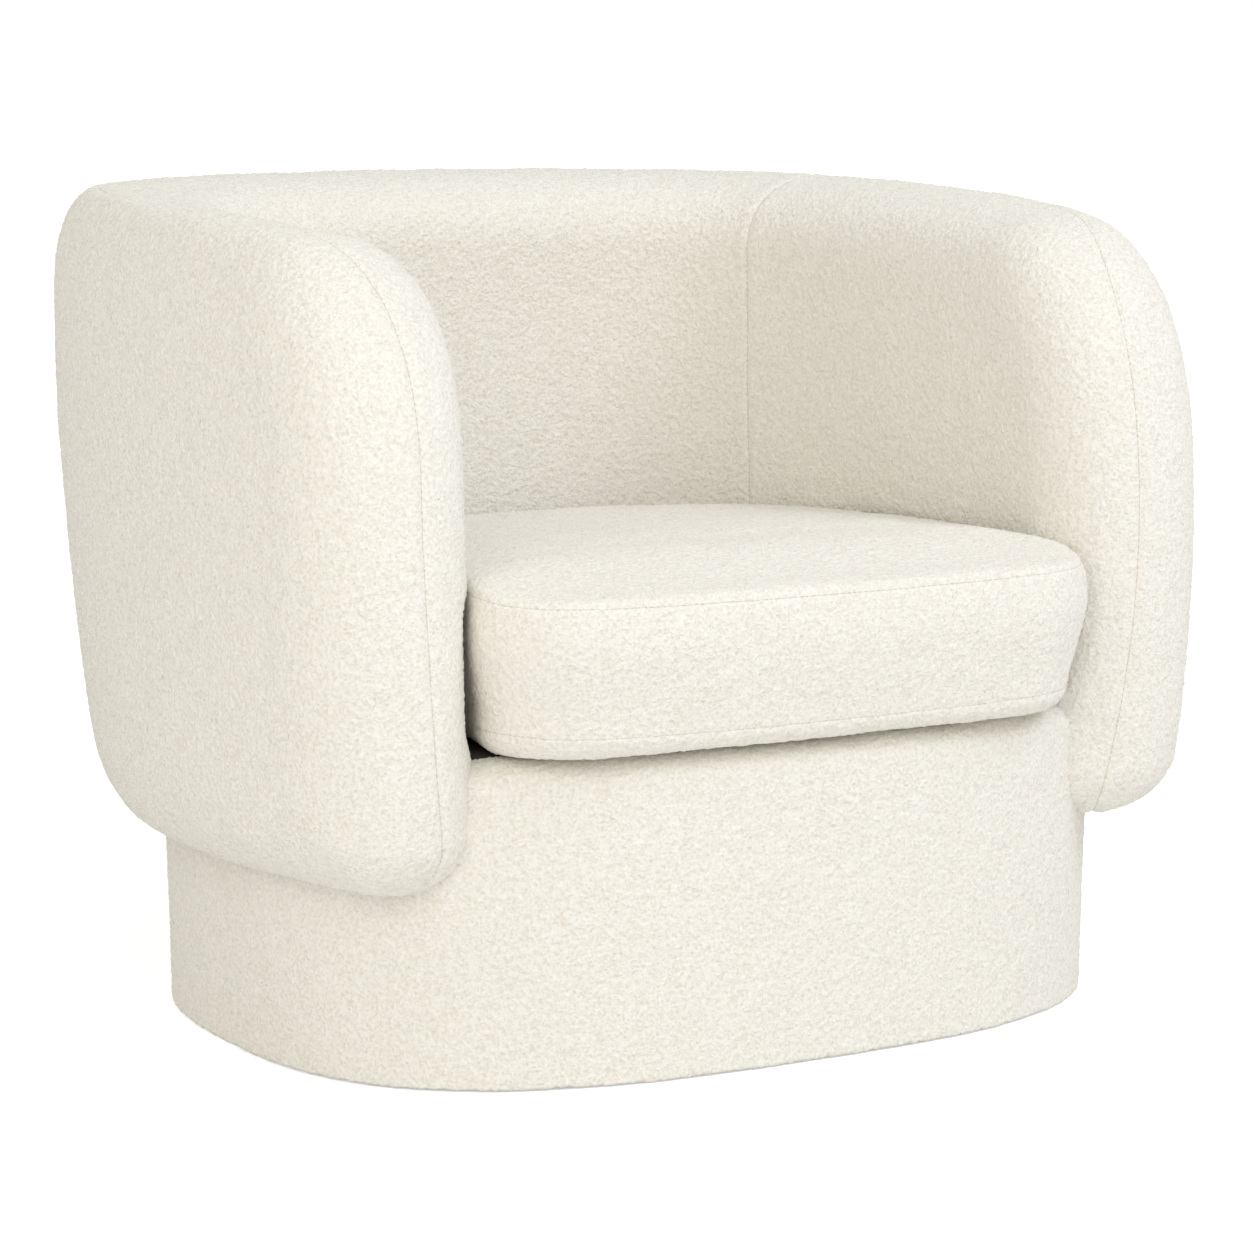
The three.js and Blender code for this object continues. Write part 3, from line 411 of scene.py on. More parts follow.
def clothed(verts, quads, seams, pull=1.0):  # stands the curls and sinks the seams
    normals = normalsOf(verts, quads)
    lift = boucle["unevenness"] * slowSwell(verts)
    calm = np.ones(len(verts))
    for away, along in seams:
        lift += seamRelief(away, along, pull)
        calm *= 1 - seamLook["calm"] * np.exp(-((away / (seamLook["calmReach"] * seamLook["width"])) ** 2))
    heights = curlHeights(verts)
    lift += boucle["height"] * calm * (heights - heights.mean())
    return verts + normals * lift[:, None]


def nearestOn(line, points):  # distance to a seam and how far along it
    lengths = lengthsAlong(line)
    tree = kdtree.KDTree(len(line))
    for index, point in enumerate(line):
        tree.insert(point, index)
    tree.balance()
    found = np.array([tree.find(point)[1:] for point in points])
    return found[:, 1], lengths[found[:, 0].astype(int)]


def evenLine(line):  # the same line with a point at each millimetre
    lengths = lengthsAlong(line)
    marks = np.arange(0, lengths[-1], 1 * mm)
    return np.c_[tuple(np.interp(marks, lengths, line[:, axis]) for axis in range(3))]


def cutPiece(name, verts, normals, quads, keep, seams, material, turnIn=5 * mm):
    faces = quads[keep]
    used, faces = np.unique(faces, return_inverse=True)
    faces = faces.reshape(-1, 4)
    points, facing = verts[used], normals[used]
    sides = np.r_[faces[:, [0, 1]], faces[:, [1, 2]], faces[:, [2, 3]], faces[:, [3, 0]]]
    keys = np.sort(sides, axis=1)
    order = keys[:, 0] * len(points) + keys[:, 1]
    _, first, counts = np.unique(order, return_index=True, return_counts=True)
    rim = sides[first[counts == 1]]
    rim = rim[rim[:, 0] != rim[:, 1]]
    ends, rim = np.unique(rim, return_inverse=True)
    rim = rim.reshape(-1, 2)
    count, hem = len(points), len(ends)
    inner = points[ends] - facing[ends] * turnIn
    rimFaces = np.c_[rim[:, 1] + count, rim[:, 0] + count, rim[:, 0] + count + hem, rim[:, 1] + count + hem]
    allPoints = np.r_[points, points[ends], inner]
    allFaces = np.r_[faces, rimFaces]
    mesh = newMesh(name, allPoints, allFaces)
    away = mesh.attributes.new("seamAway", "FLOAT", "POINT")
    along = mesh.attributes.new("seamAlong", "FLOAT", "POINT")
    nearest = np.full(len(verts), farOff)
    marks = np.zeros(len(verts))
    for seamAway, seamAlong in seams:
        closer = np.abs(seamAway) < np.abs(nearest)
        nearest = np.where(closer, seamAway, nearest)
        marks = np.where(closer, seamAlong, marks)
    pick = np.r_[used, used[ends], used[ends]]
    away.data.foreach_set("value", nearest[pick].astype(np.float32))
    along.data.foreach_set("value", marks[pick].astype(np.float32))
    print("made", name, len(mesh.polygons), "faces")
    return newObject(name, mesh, material)


# Materials


class Board:  # the nodes of a material or of the world, made and joined by short calls
    def __init__(self, owner):
        owner.use_nodes = True
        self.owner, self.nodes, self.links = owner, owner.node_tree.nodes, owner.node_tree.links
        self.shader = self.nodes.get("Principled BSDF") or self.nodes["Background"]
        self.place = self.nodes.new("ShaderNodeTexCoord").outputs["Object"]

    def put(self, socket, value):
        if isinstance(value, bpy.types.NodeSocket):
            self.links.new(value, socket)
        else:
            socket.default_value = value

    def maths(self, operation, first, second=0.0, third=0.0, clamp=False):
        node = self.nodes.new("ShaderNodeMath")
        node.operation = operation
        node.use_clamp = clamp
        for socket, value in zip(node.inputs, (first, second, third)):
            self.put(socket, value)
        return node.outputs[0]

    def distance(self, place):
        node = self.nodes.new("ShaderNodeVectorMath")
        node.operation = "LENGTH"
        self.put(node.inputs[0], place)
        return node.outputs["Value"]

    def spanned(self, value, start, end):
        node = self.nodes.new("ShaderNodeMapRange")
        node.interpolation_type = "SMOOTHSTEP"
        for socket, given in zip(node.inputs, (value, *start, *end)):
            self.put(socket, given)
        return node.outputs["Result"]

    def noise(self, size, detail=2.0, roughness=0.5, place=None, distortion=0.0):
        node = self.nodes.new("ShaderNodeTexNoise")
        self.put(node.inputs["Vector"], place or self.place)
        node.inputs["Scale"].default_value = 1 / size
        node.inputs["Detail"].default_value = detail
        node.inputs["Roughness"].default_value = roughness
        node.inputs["Distortion"].default_value = distortion
        return node.outputs["Fac"]

    def cells(self, size, smoothness):
        node = self.nodes.new("ShaderNodeTexVoronoi")
        node.feature = "SMOOTH_F1"
        self.put(node.inputs["Vector"], self.place)
        node.inputs["Scale"].default_value = 1 / size
        node.inputs["Smoothness"].default_value = smoothness
        return node.outputs["Distance"]

    def ridged(self, size, distortion, sharpness):  # winding lines along the noise's middle
        wave = self.noise(size, 0.0, 0.5, None, distortion)
        fold = self.maths("MULTIPLY_ADD", wave, 2.0 * sharpness, -sharpness)
        return self.maths("SUBTRACT", 1.0, self.maths("MULTIPLY", fold, fold), clamp=True)

    def stretched(self, scale):
        node = self.nodes.new("ShaderNodeMapping")
        node.inputs["Scale"].default_value = scale
        self.put(node.inputs["Vector"], self.place)
        return node.outputs[0]

    def ramp(self, value, stops):
        stops = list(stops)
        node = self.nodes.new("ShaderNodeValToRGB")
        self.put(node.inputs["Fac"], value)
        elements = node.color_ramp.elements
        while len(elements) < len(stops):
            elements.new(0.5)
        for element, (position, colour) in zip(elements, stops):
            element.position = position
            element.color = (*colour, 1)
        return node.outputs["Color"]

    def mixed(self, share, first, second):
        node = self.nodes.new("ShaderNodeMix")
        node.data_type = "RGBA"
        for slot, value in ((0, share), (6, first), (7, (*second, 1))):
            self.put(node.inputs[slot], value)
        return node.outputs[2]

    def seenDirectly(self):  # 1 for what the camera sees, in gloss and through glass too
        path = self.nodes.new("ShaderNodeLightPath")
        seen = self.maths("MAXIMUM", path.outputs["Is Camera Ray"], path.outputs["Is Glossy Ray"])
        return self.maths("MAXIMUM", seen, path.outputs["Is Transmission Ray"])

    def attribute(self, name):
        node = self.nodes.new("ShaderNodeAttribute")
        node.attribute_name = name
        return node.outputs["Fac"]

    def bumped(self, height, distance):
        node = self.nodes.new("ShaderNodeBump")
        node.inputs["Strength"].default_value = 1
        node.inputs["Distance"].default_value = distance
        self.put(node.inputs["Height"], height)
        self.put(self.shader.inputs["Normal"], node.outputs["Normal"])

    def finish(self, colour, roughness, **sockets):
        self.put(self.shader.inputs["Base Color"], colour)
        self.put(self.shader.inputs["Roughness"], roughness)
        for name, value in sockets.items():
            self.shader.inputs[name.replace("_", " ")].default_value = value
        return self.owner


boucleFinish = {
    # the pit tone is painted shade, darkening the hollows between the curls
    "paintedPitShade": (0.79, 0.745, 0.65),
    "base": (0.86, 0.83, 0.762),
    # the nub tone is painted light, lightening the tops of the curls
    "paintedNubLight": (0.895, 0.872, 0.82),
    "thread": (0.40, 0.34, 0.26),
    "threadShare": 0.6,
    "curl": (2.7 * mm, 0.45, 0.5),  # spacing of the curled yarn, its roughness and how it wanders
    "loop": (3.6 * mm, 0.35),  # spacing and softness
    "twist": (4.0 * mm, 0.5, 2.4),  # spacing, wander and sharpness
    "relief": 1.25 * mm,
    "loopShare": 0.35,
    "twistShare": 0.16,
    "toneHeights": (0.52, 0.80, 1.10),  # where the painted shade of the pits, the base colour and the painted light on the curl tops lie on the relief
    "cloud": 60 * mm,  # slow change of tone over a panel
    "cloudShare": 0.10,
    "cloudTone": (0.80, 0.775, 0.73),
    "seamLine": 0.75,  # half width of the line in mm
    "tick": 6.0,  # length of a stitch in mm
    "tickLength": 0.2,
    "tickShare": 0.5,  # how much fainter the line is between stitches
    "linePower": 0.6,
    "roughness": 0.95,
    "sheen": {"Sheen_Weight": 0.15, "Sheen_Roughness": 0.5, "Specular_IOR_Level": 0.12},
}


def boucleMaterial():
    look = boucleFinish
    board = Board(bpy.data.materials.new("boucle"))
    curl, rough, wander = look["curl"]
    yarn = board.noise(curl, 1.0, rough, distortion=wander)
    loop = board.maths("SUBTRACT", 1.0, board.cells(*look["loop"]), clamp=True)
    twist = board.ridged(*look["twist"])
    height = board.maths("MULTIPLY_ADD", loop, look["loopShare"], yarn)
    height = board.maths("MULTIPLY_ADD", twist, look["twistShare"], height)
    # colour follows the relief: painted shade in the hollows between curls, painted light on the curl tops
    tone = board.ramp(height, zip(look["toneHeights"], (look["paintedPitShade"], look["base"], look["paintedNubLight"])))
    cloud = board.noise(look["cloud"])
    tone = board.mixed(board.maths("MULTIPLY", cloud, look["cloudShare"]), tone, look["cloudTone"])
    away = board.maths("MULTIPLY", board.maths("ABSOLUTE", board.attribute("seamAway")), 1000.0)
    along = board.maths("MULTIPLY", board.attribute("seamAlong"), 1000.0 / look["tick"])
    line = board.maths("SUBTRACT", 1.0, board.maths("DIVIDE", away, look["seamLine"]), clamp=True)
    stitch = board.maths("LESS_THAN", board.maths("PINGPONG", along, 0.5), look["tickLength"])
    tick = board.maths("MULTIPLY_ADD", stitch, look["tickShare"], 1 - look["tickShare"])
    line = board.maths("MULTIPLY", board.maths("POWER", line, look["linePower"]), tick)
    line = board.maths("MULTIPLY", line, look["threadShare"])
    tone = board.mixed(line, tone, look["thread"])
    board.bumped(height, look["relief"])
    return board.finish(tone, look["roughness"], **look["sheen"])


frameFinishes = {
    # grain's size, detail, roughness and stretch, dark and light tone, relief and roughness of the surface
    "liner": (1.4 * mm, 3, 0.6, (1, 1, 1), (0.060, 0.045, 0.032), (0.105, 0.082, 0.060), 0.3 * mm, 0.92),
    "plywood": (2.5 * mm, 4, 0.6, (1, 0.12, 1), (0.46, 0.32, 0.18), (0.63, 0.48, 0.30), 0.25 * mm, 0.72),
    "timber": (7 * mm, 3, 0.55, (0.08, 1, 1), (0.38, 0.24, 0.12), (0.56, 0.39, 0.22), 0.3 * mm, 0.68),
    "fibreboard": (1.1 * mm, 3, 0.7, (1, 1, 1), (0.15, 0.085, 0.045), (0.26, 0.16, 0.09), 0.15 * mm, 0.8),
    "spring_steel": (0.8 * mm, 2, 0.5, (1, 1, 0.2), (0.30, 0.31, 0.33), (0.46, 0.47, 0.49), 0.05 * mm, 0.25),
    "nylon": (0.7 * mm, 2, 0.5, (1, 1, 1), (0.012, 0.011, 0.010), (0.022, 0.021, 0.020), 0.05 * mm, 0.5),
}
frameExtras = {
    "span": (0.3, 0.7),  # of the grain, from dark to light
    "spots": (2.2 * mm, 0.6),  # knots in the liner's weave, and their share of its relief
    "glue": (1.6 * mm, 0.35, (0.30, 0.20, 0.11)),  # layers of the plywood
    "rings": (0.6, (0.35, 0.65)),  # how much the timber's rings wander, and their span
    "pores": (0.9 * mm, 0.5),  # in the timber
    "polish": 0.2,  # how much rougher the steel is in places
}


def frameMaterial(name):
    size, detail, rough, stretch, dark, light, relief, roughness = frameFinishes[name]
    wander, span = frameExtras["rings"] if name == "timber" else (0, frameExtras["span"])
    board = Board(bpy.data.materials.new(name))
    grain = board.noise(size, detail, rough, board.stretched(stretch), wander)
    tone = board.ramp(grain, zip(span, (dark, light)))
    height, more = grain, {}
    if name == "liner":
        size, share = frameExtras["spots"]
        height = board.maths("MULTIPLY_ADD", board.cells(size, 0.1), share, grain)
        more["Sheen_Weight"] = 0.1
    if name == "plywood":
        size, share, glue = frameExtras["glue"]
        layers = board.noise(size, 1.0, 0.4, board.stretched((0.02, 0.02, 1)))
        tone = board.mixed(board.maths("MULTIPLY", layers, share), tone, glue)
    if name == "timber":
        size, share = frameExtras["pores"]
        pores = board.noise(size, 2.0, 0.6, board.stretched((0.1, 1, 1)))
        height = board.maths("MULTIPLY_ADD", pores, share, grain)
    if name == "spring_steel":
        roughness = board.maths("MULTIPLY_ADD", grain, frameExtras["polish"], roughness)
        more["Metallic"] = 1.0
    board.bumped(height, relief)
    return board.finish(tone, roughness, **more)


materials = {name: frameMaterial(name) for name in frameFinishes}
materials["boucle"] = boucleMaterial()
print("materials ready")


def dressFrame():  # the wood, boards, springs and glides keep their shapes and get their finishes
    slots = {row["node"]: row["material_slot"] for row in frame["record"]["subparts"]}
    for name, thing in frame["nodes"].items():
        material = materials.get(slots.get(name))
        if material is None:
            continue
        if not thing.material_slots:
            thing.data.materials.append(material)
        for slot in thing.material_slots:
            slot.material = material


dressFrame()


def settle(piece, body, replaced):
    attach(piece, body)
    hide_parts(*replaced)


# Shell: outer cover round back and arms, and three inside covers, closed at a sewn crest

dent = {
    "depth": 7.0 * mm,  # how far the cushion presses into an arm
    "heights": (0.300, 0.420),
    "fade": 0.03,
    "shares": (0.45, 0.62),  # fades in from the back corner to the arm
    "inward": 0.35,  # share of the way from the crest to the inner face at which it starts
}


def shellBlank():
    turn = np.linspace(0, math.pi, shell["columns"] + 1)
    columns = -tipDistance * np.cos(turn)
    columns[[0, -1]] = -tipDistance, tipDistance
    ease = (1 - np.cos(np.linspace(0, math.pi, shell["rows"] + 1))) / 2
    foot, top = footAt(columns)[:, None], topAt(columns)[:, None]
    heights = (foot + (top - foot) * ease).ravel()
    distances = np.repeat(columns, len(ease))
    outer = wallPoints(1, distances, heights)
    inner = wallPoints(-1, distances, heights)
    grid = np.arange(len(outer)).reshape(-1, len(ease))
    edge = np.zeros(grid.shape, bool)
    edge[[0, -1], :] = True
    edge[:, [0, -1]] = True
    innerIndex = np.where(edge, grid, grid + len(outer))
    faces = []
    for index, order in ((grid, (1, 2, 3, 0)), (innerIndex, (0, 3, 2, 1))):
        faces.append(gridFaces(index)[:, order])
    return np.r_[outer, inner], np.concatenate(faces)


def crestLine():
    steps, tipSteps = 1500, 400
    rows = np.linspace(topAt(tipDistance), footAt(tipDistance), tipSteps)
    half = outlineOf(steps)
    half = np.r_[half[:steps + 1], np.c_[np.full(tipSteps, tipDistance), rows], half[steps + 1:]]
    marks = np.r_[half, (half * (-1, 1))[::-1]]
    share = shareAt(marks[:, 0])
    x, y = pathPoint(share, marks[:, 1])
    _, _, outX, outY, _ = pathFrame(share, marks[:, 1])
    offset = crestOffset(share)
    return evenLine(np.c_[x + outX * offset, y + outY * offset, marks[:, 1]])


def makeShell():
    verts, quads = voxelSkin(*shellBlank(), shell["voxel"])
    verts = smoothed(verts, quads, shell["smoothRounds"])
    print("shell skin", len(verts), "points")
    share, offset = wallCoordinates(verts)
    far = np.abs(share)
    inside = offset < crestOffset(share)

    ends, fade = dent["heights"], dent["fade"]
    z = verts[:, 2]
    press = smoothStep((z - ends[0]) / fade + 0.5) * smoothStep((ends[1] - z) / fade + 0.5)
    startShare, fullShare = dent["shares"]
    press *= smoothStep((far - startShare) / (fullShare - startShare))
    reach = (crestOffset(share) - offset) / (crestOffset(share) + shell["wallHalf"])
    press *= smoothStep((reach - dent["inward"]) / (1 - dent["inward"]))
    _, _, outX, outY, _ = pathFrame(far, z)
    outX = np.where(share < 0, -outX, outX)
    verts = verts + dent["depth"] * press[:, None] * np.c_[outX, outY, np.zeros(len(verts))]

    crestAway, crestAlong = nearestOn(crestLine(), verts)
    crestAway = np.where(inside, -crestAway, crestAway)
    seamX, seamY = pathPoint(shell["seamShare"], z)
    alongX, alongY, _, _, _ = pathFrame(shell["seamShare"], z)
    panelAway = (np.abs(verts[:, 0]) - seamX) * alongX + (verts[:, 1] - seamY) * alongY
    panelAway = np.where(inside & (far < shell["backShare"]), panelAway, farOff)
    seamsOut = [(crestAway, crestAlong)]
    seams = seamsOut + [(panelAway, z)]
    verts = clothed(verts, quads, seams)
    normals = normalsOf(verts, quads)

    middle = quads[:, [0, 2]]
    faceInside = inside[middle].mean(1) > 0.5
    faceAway = panelAway[middle].mean(1)
    faceX = verts[middle, 0].mean(1)
    faceFar = far[middle].mean(1)
    outerBack = ~faceInside & (faceFar < shell["backCutShare"])
    outerArm = ~faceInside & (faceFar >= shell["backCutShare"])
    innerBack, innerArm = faceInside & (faceAway < 0), faceInside & (faceAway >= 0)
    onLeft, onRight = faceX < 0, faceX >= 0
    parts = (
        ("shell_outer_left", outerArm & onLeft, seamsOut, ("shell_outer_cover",)),
        ("shell_outer_back_left", outerBack & onLeft, seamsOut, ("shell_outer_foam",)),
        ("shell_outer_back_right", outerBack & onRight, seamsOut, ("shell_outer_foam",)),
        ("shell_outer_right", outerArm & onRight, seamsOut, ("shell_outer_cover",)),
        ("inside_left", innerArm & onLeft, seams, ("inside_cover_left", "inside_foam_left")),
        ("inside_back_left", innerBack & onLeft, seams, ("inside_cover_back", "inside_foam_back")),
        ("inside_back_right", innerBack & onRight, seams, ("inside_cover_back", "inside_foam_back")),
        ("inside_right", innerArm & onRight, seams, ("inside_cover_right", "inside_foam_right")),
    )
    for name, keep, seamSet, replaced in parts:
        piece = cutPiece(name, verts, normals, quads, keep, seamSet, materials["boucle"])
        settle(piece, "chair", replaced)


makeShell()


# Plinth: one cover round the oval, over a rounded top edge and in on the deck

plinth = {
    "halfWidth": 0.420,
    "halfDepth": 0.326,
    "flare": 5 * mm,
    "top": 0.2855,
    "power": 2.8,
    "foot": 1.6 * mm,
    "footRound": 3 * mm,
    "topRound": (32 * mm, 22 * mm),  # how far in and how far down the top edge rounds
    "lip": 0.105,  # how far the cover runs in on the deck
    "lipLine": -0.256,  # where it meets the deck cloth
    "tuck": 12 * mm,  # how far in it is turned under at the foot
    "mesh": 2.2 * mm,
    "deckMesh": 2.4 * mm,
    "columns": 1090,
    "evenAt": 0.1,  # the height at which the columns are spaced evenly
    "burial": 5 * mm,  # how deep the cover runs on inside the shell
    "boardTop": 0.2775,  # where the bent board under the cover ends
}


def ovalPoint(turn, inset, height):
    grow = plinth["flare"] * height / plinth["top"] - inset
    power = plinth["power"]
    across = np.abs(np.cos(turn) / (plinth["halfWidth"] + grow)) ** power
    deep = np.abs(np.sin(turn) / (plinth["halfDepth"] + grow)) ** power
    reach = (across + deep) ** (-1 / power)
    return np.c_[reach * np.cos(turn), reach * np.sin(turn) + yShift, np.broadcast_to(height, turn.shape)]


def deckTop(points):  # height of the padded plinth below a point
    turn = np.arctan2(points[:, 1] - yShift, points[:, 0])
    edge = ovalPoint(turn, 0, plinth["top"])
    reach = np.hypot(edge[:, 0], edge[:, 1] - yShift)
    roundIn, roundDown = plinth["topRound"]
    t = np.clip(1 - (reach - np.hypot(points[:, 0], points[:, 1] - yShift)) / roundIn, 0, 1)
    return plinth["top"] - roundDown * (1 - np.sqrt(1 - t**2))


def evenTurns(count):
    turns = np.linspace(0, 2 * math.pi, 4001)
    lengths = lengthsAlong(ovalPoint(turns, 0, plinth["evenAt"]))
    return np.interp(np.arange(count) * lengths[-1] / count, lengths, turns)


def plinthProfile():
    footRound = plinth["footRound"]
    roundIn, roundDown = plinth["topRound"]
    foot, top = plinth["foot"], plinth["top"]
    bends, topBends = np.linspace(0, math.pi / 2, 6), np.linspace(0, math.pi / 2, 22)
    rise = np.linspace(foot + footRound, top - roundDown, int((top - foot) / plinth["mesh"]))
    tuck = [(footRound + plinth["tuck"] * t, foot) for t in (1, 0.5)]
    low = [(footRound * (1 - math.sin(b)), foot + footRound * (1 - math.cos(b))) for b in bends]
    wall = [(0, h) for h in rise[1:-1]]
    high = [(roundIn * (1 - math.cos(b)), top - roundDown * (1 - math.sin(b))) for b in topBends]
    lip = [(inset, top) for inset in np.arange(roundIn + 2 * mm, plinth["lip"], plinth["deckMesh"])]
    return tuck + low + wall + high + lip


def insideWall(points, margin):
    share, offset = wallCoordinates(points)
    distance = distanceAt(share)
    edge = distanceToOutline(distance, points[:, 2])
    within = (points[:, 2] > footAt(distance)) & (np.abs(share) < 1) & (points[:, 2] < topAt(distance))
    outer = wallOffset(1, share, edge) - margin
    inner = wallOffset(-1, share, edge) + margin
    return within & (edge > margin) & (offset < outer) & (offset > inner)


def makePlinth():
    turns = evenTurns(plinth["columns"])
    loops = [ovalPoint(turns, inset, height) for inset, height in plinthProfile()]
    quads, _ = ringFaces(len(turns), len(loops))
    verts = clothed(np.concatenate(loops), quads, [])
    normals = normalsOf(verts, quads)
    hidden = insideWall(verts, plinth["burial"])
    onDeck = verts[:, 2] > plinth["top"] - plinth["topRound"][1]
    onDeck &= verts[:, 1] > plinth["lipLine"] + yShift
    middleY = verts[quads[:, [0, 2]], 1].mean(1)
    keep = ~hidden[quads].all(1) & ~onDeck[quads].all(1)
    for name, side in (("plinth_cover_front", middleY < yShift), ("plinth_cover_rear", middleY >= yShift)):
        piece = cutPiece(name, verts, normals, quads, keep & side, [], materials["boucle"])
        settle(piece, "chair", ("plinth_cover", "plinth_foam"))


def trimBoard():  # the bent board under the cover, its top edge cut to stay below the rolled edge
    verts, faces = meshArrays(frame["nodes"]["plinth_board"].data)
    verts[:, 2] = np.minimum(verts[:, 2], plinth["boardTop"])
    mesh = newMesh("plinth_board_bent", verts, faces)
    mesh.shade_flat()
    settle(newObject(mesh.name, mesh, materials["fibreboard"]), "chair", ("plinth_board",))


makePlinth()
trimBoard()


# Deck cloth under the cushion and dust cloth under the plinth

deck = {
    "height": 0.2842,
    "thickness": 1.2 * mm,
    "step": 8 * mm,  # mesh of both cloths
    "edge": 6 * mm,  # how far the deck cloth runs in below the arms
    "radius": 0.41,  # it ends inside this circle
    "dustInset": 3 * mm,  # from the plinth's outline to the dust cloth
}


def flatSheet(name, height, keepPoint, box, thickness):
    step = deck["step"]
    xs = np.arange(box[0], box[2] + step / 2, step)
    ys = np.arange(box[1], box[3] + step / 2, step)
    gridX, gridY = np.meshgrid(xs, ys, indexing="ij")
    points = np.c_[gridX.ravel(), gridY.ravel(), np.full(gridX.size, height)]
    keep = keepPoint(points)
    index = np.arange(len(points)).reshape(len(xs), len(ys))
    quads = gridFaces(index)[:, (0, 3, 2, 1)]
    quads = quads[keep[quads].all(1)]
    used, faces = np.unique(quads, return_inverse=True)
    faces = faces.reshape(-1, 4)
    thing = newObject(name, newMesh(name, points[used], faces))
    solid = thing.modifiers.new("thickness", "SOLIDIFY")
    solid.thickness = thickness
    solid.offset = -1
    area = len(faces) * step**2
    return newObject(name, newMesh(name, *evaluated(thing)), materials["liner"]), area


def makeDeckCloth():
    low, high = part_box("deck_cloth")

    def onDeck(points):
        share, offset = wallCoordinates(points)
        clear = (offset < -shell["wallHalf"] + deck["edge"]) | (np.abs(share) > 1)
        near = np.hypot(points[:, 0], points[:, 1] - yShift) < deck["radius"]
        return clear & near & (points[:, 1] > plinth["lipLine"] + yShift + 1 * mm)

    box = (low.x, plinth["lipLine"] + yShift + 2 * mm, high.x, high.y)
    piece, area = flatSheet("deck_cloth_sheet", deck["height"], onDeck, box, deck["thickness"])
    settle(piece, "chair", ("deck_cloth", "deck_pad"))


def makeDustCloth():
    low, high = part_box("dust_cover")

    def inPlinth(points):
        turn = np.arctan2(points[:, 1] - yShift, points[:, 0])
        edge = ovalPoint(turn, deck["dustInset"], plinth["footRound"])
        return np.hypot(points[:, 0], points[:, 1] - yShift) < np.hypot(edge[:, 0], edge[:, 1] - yShift)

    box = (low.x, low.y, high.x, high.y)
    piece, area = flatSheet("dust_cloth", high.z, inPlinth, box, high.z - low.z)
    settle(piece, "chair", ("dust_cover",))


makeDeckCloth()
makeDustCloth()


# Seat cushion: crowned top, boxing between two seams and a base, blown up like a filled cover

cushion = {
    "halfWidth": 0.304,
    "front": -0.352,
    "cornerRadius": 0.082,
    "frontBow": 6 * mm,
    "base": 0.2875,
    "seams": (0.3065, 0.4195),
    "cornerRise": 5.5 * mm,  # how much higher both seams run at the front corners
    "sag": (0.5 * mm, 45 * mm),  # how far the base hangs at its edge, and how far in
    "seamInsets": (9 * mm, 0.0),
    "crown": 0.441,
    "crownPower": 4.2,
    "lean": 0.048,  # fall of the top from front to back
    "leanMiddle": -0.03,
    "frontDrop": 20 * mm,  # how far the top falls again to the front
    "frontReach": (-0.335, -0.205),
    "leanFrom": 0.405,  # the height from which the cushion leans
    "edgeRound": 22 * mm,
    "sideSwell": 7.5 * mm,
    "swellPower": 1.6,  # above 1 the boxing swells most in its upper half
    "swellReach": (-0.20, -0.28),  # the boxing swells only in front of the arms
    "riseReach": 0.25,  # how far to the back the seams' rise has gone
    "clearance": 3 * mm,
    "sideShare": 0.92,
    "voxel": 5 * mm,
    "smoothRounds": 2,
    "startInset": 4 * mm,
    "pressure": 4.0,
    "frames": 20,
    "cloth": {
        "quality": 6,
        "mass": 0.3,
        "tension_stiffness": 15,
        "compression_stiffness": 15,
        "bending_stiffness": 0.6,
    },
    "cap": 9 * mm,  # how far a point may move while the cover fills
    "sewnReach": (5 * mm, 7 * mm),  # held in the cloth, and not drawn in before it
    "offForm": 1.5 * mm,  # how far the filled cover may leave the sewn form
    "offDeck": 0.6 * mm,
    "seamPull": 0.5,
}


def cushionPlan():
    reach = shell["wallHalf"] + cushion["clearance"]
    share = np.linspace(0, 1, 141) * cushion["sideShare"]

    def inside(height):
        level = np.full(len(share), height)
        x, y = pathPoint(share, level)
        _, _, outX, outY, _ = pathFrame(share, level)
        return np.c_[x - outX * reach, y - outY * reach - yShift]

    low, high = inside(cushion["base"]), inside(shell["refHeights"][1])
    nearer = np.linalg.norm(low, axis=1) < np.linalg.norm(high, axis=1)
    side = np.where(nearer[:, None], low, high)
    radius = cushion["cornerRadius"]
    cornerX, cornerY = cushion["halfWidth"] - radius, cushion["front"] + radius
    slope = 2 * cushion["frontBow"] / cornerX
    bends = np.linspace(0, math.pi / 2 - math.atan(slope), 20)
    corner = np.c_[cornerX + radius * np.cos(bends), cornerY - radius * np.sin(bends)]
    edgeX, edgeY = corner[-1]
    frontX = np.linspace(edgeX, 0, 60)[1:]
    front = np.c_[frontX, edgeY - slope * (edgeX**2 - frontX**2) / (2 * edgeX)]
    half = np.r_[side, corner, front]
    other = half[1:-1][::-1] * (-1, 1)
    return np.r_[half, other]


def leaning(height, y):  # how far the top sits lower towards the back and at the front
    share = smoothStep((height - cushion["leanFrom"]) / (cushion["crown"] - cushion["leanFrom"]))
    start, end = cushion["frontReach"]
    drop = cushion["frontDrop"] * (1 - smoothStep((y - start) / (end - start)))
    return share * (cushion["lean"] * (y - cushion["leanMiddle"]) + drop)


def cornerLift(height, x, y):  # how much higher the seams run at the front corners
    share = smoothStep((height - cushion["base"]) / (cushion["seams"][0] - cushion["base"]))
    share = share * smoothStep((cushion["crown"] - height) / (cushion["crown"] - cushion["seams"][1]))
    front = smoothStep(-y / cushion["riseReach"])
    return cushion["cornerRise"] * share * front * np.minimum(np.abs(x) / cushion["halfWidth"], 1) ** 3


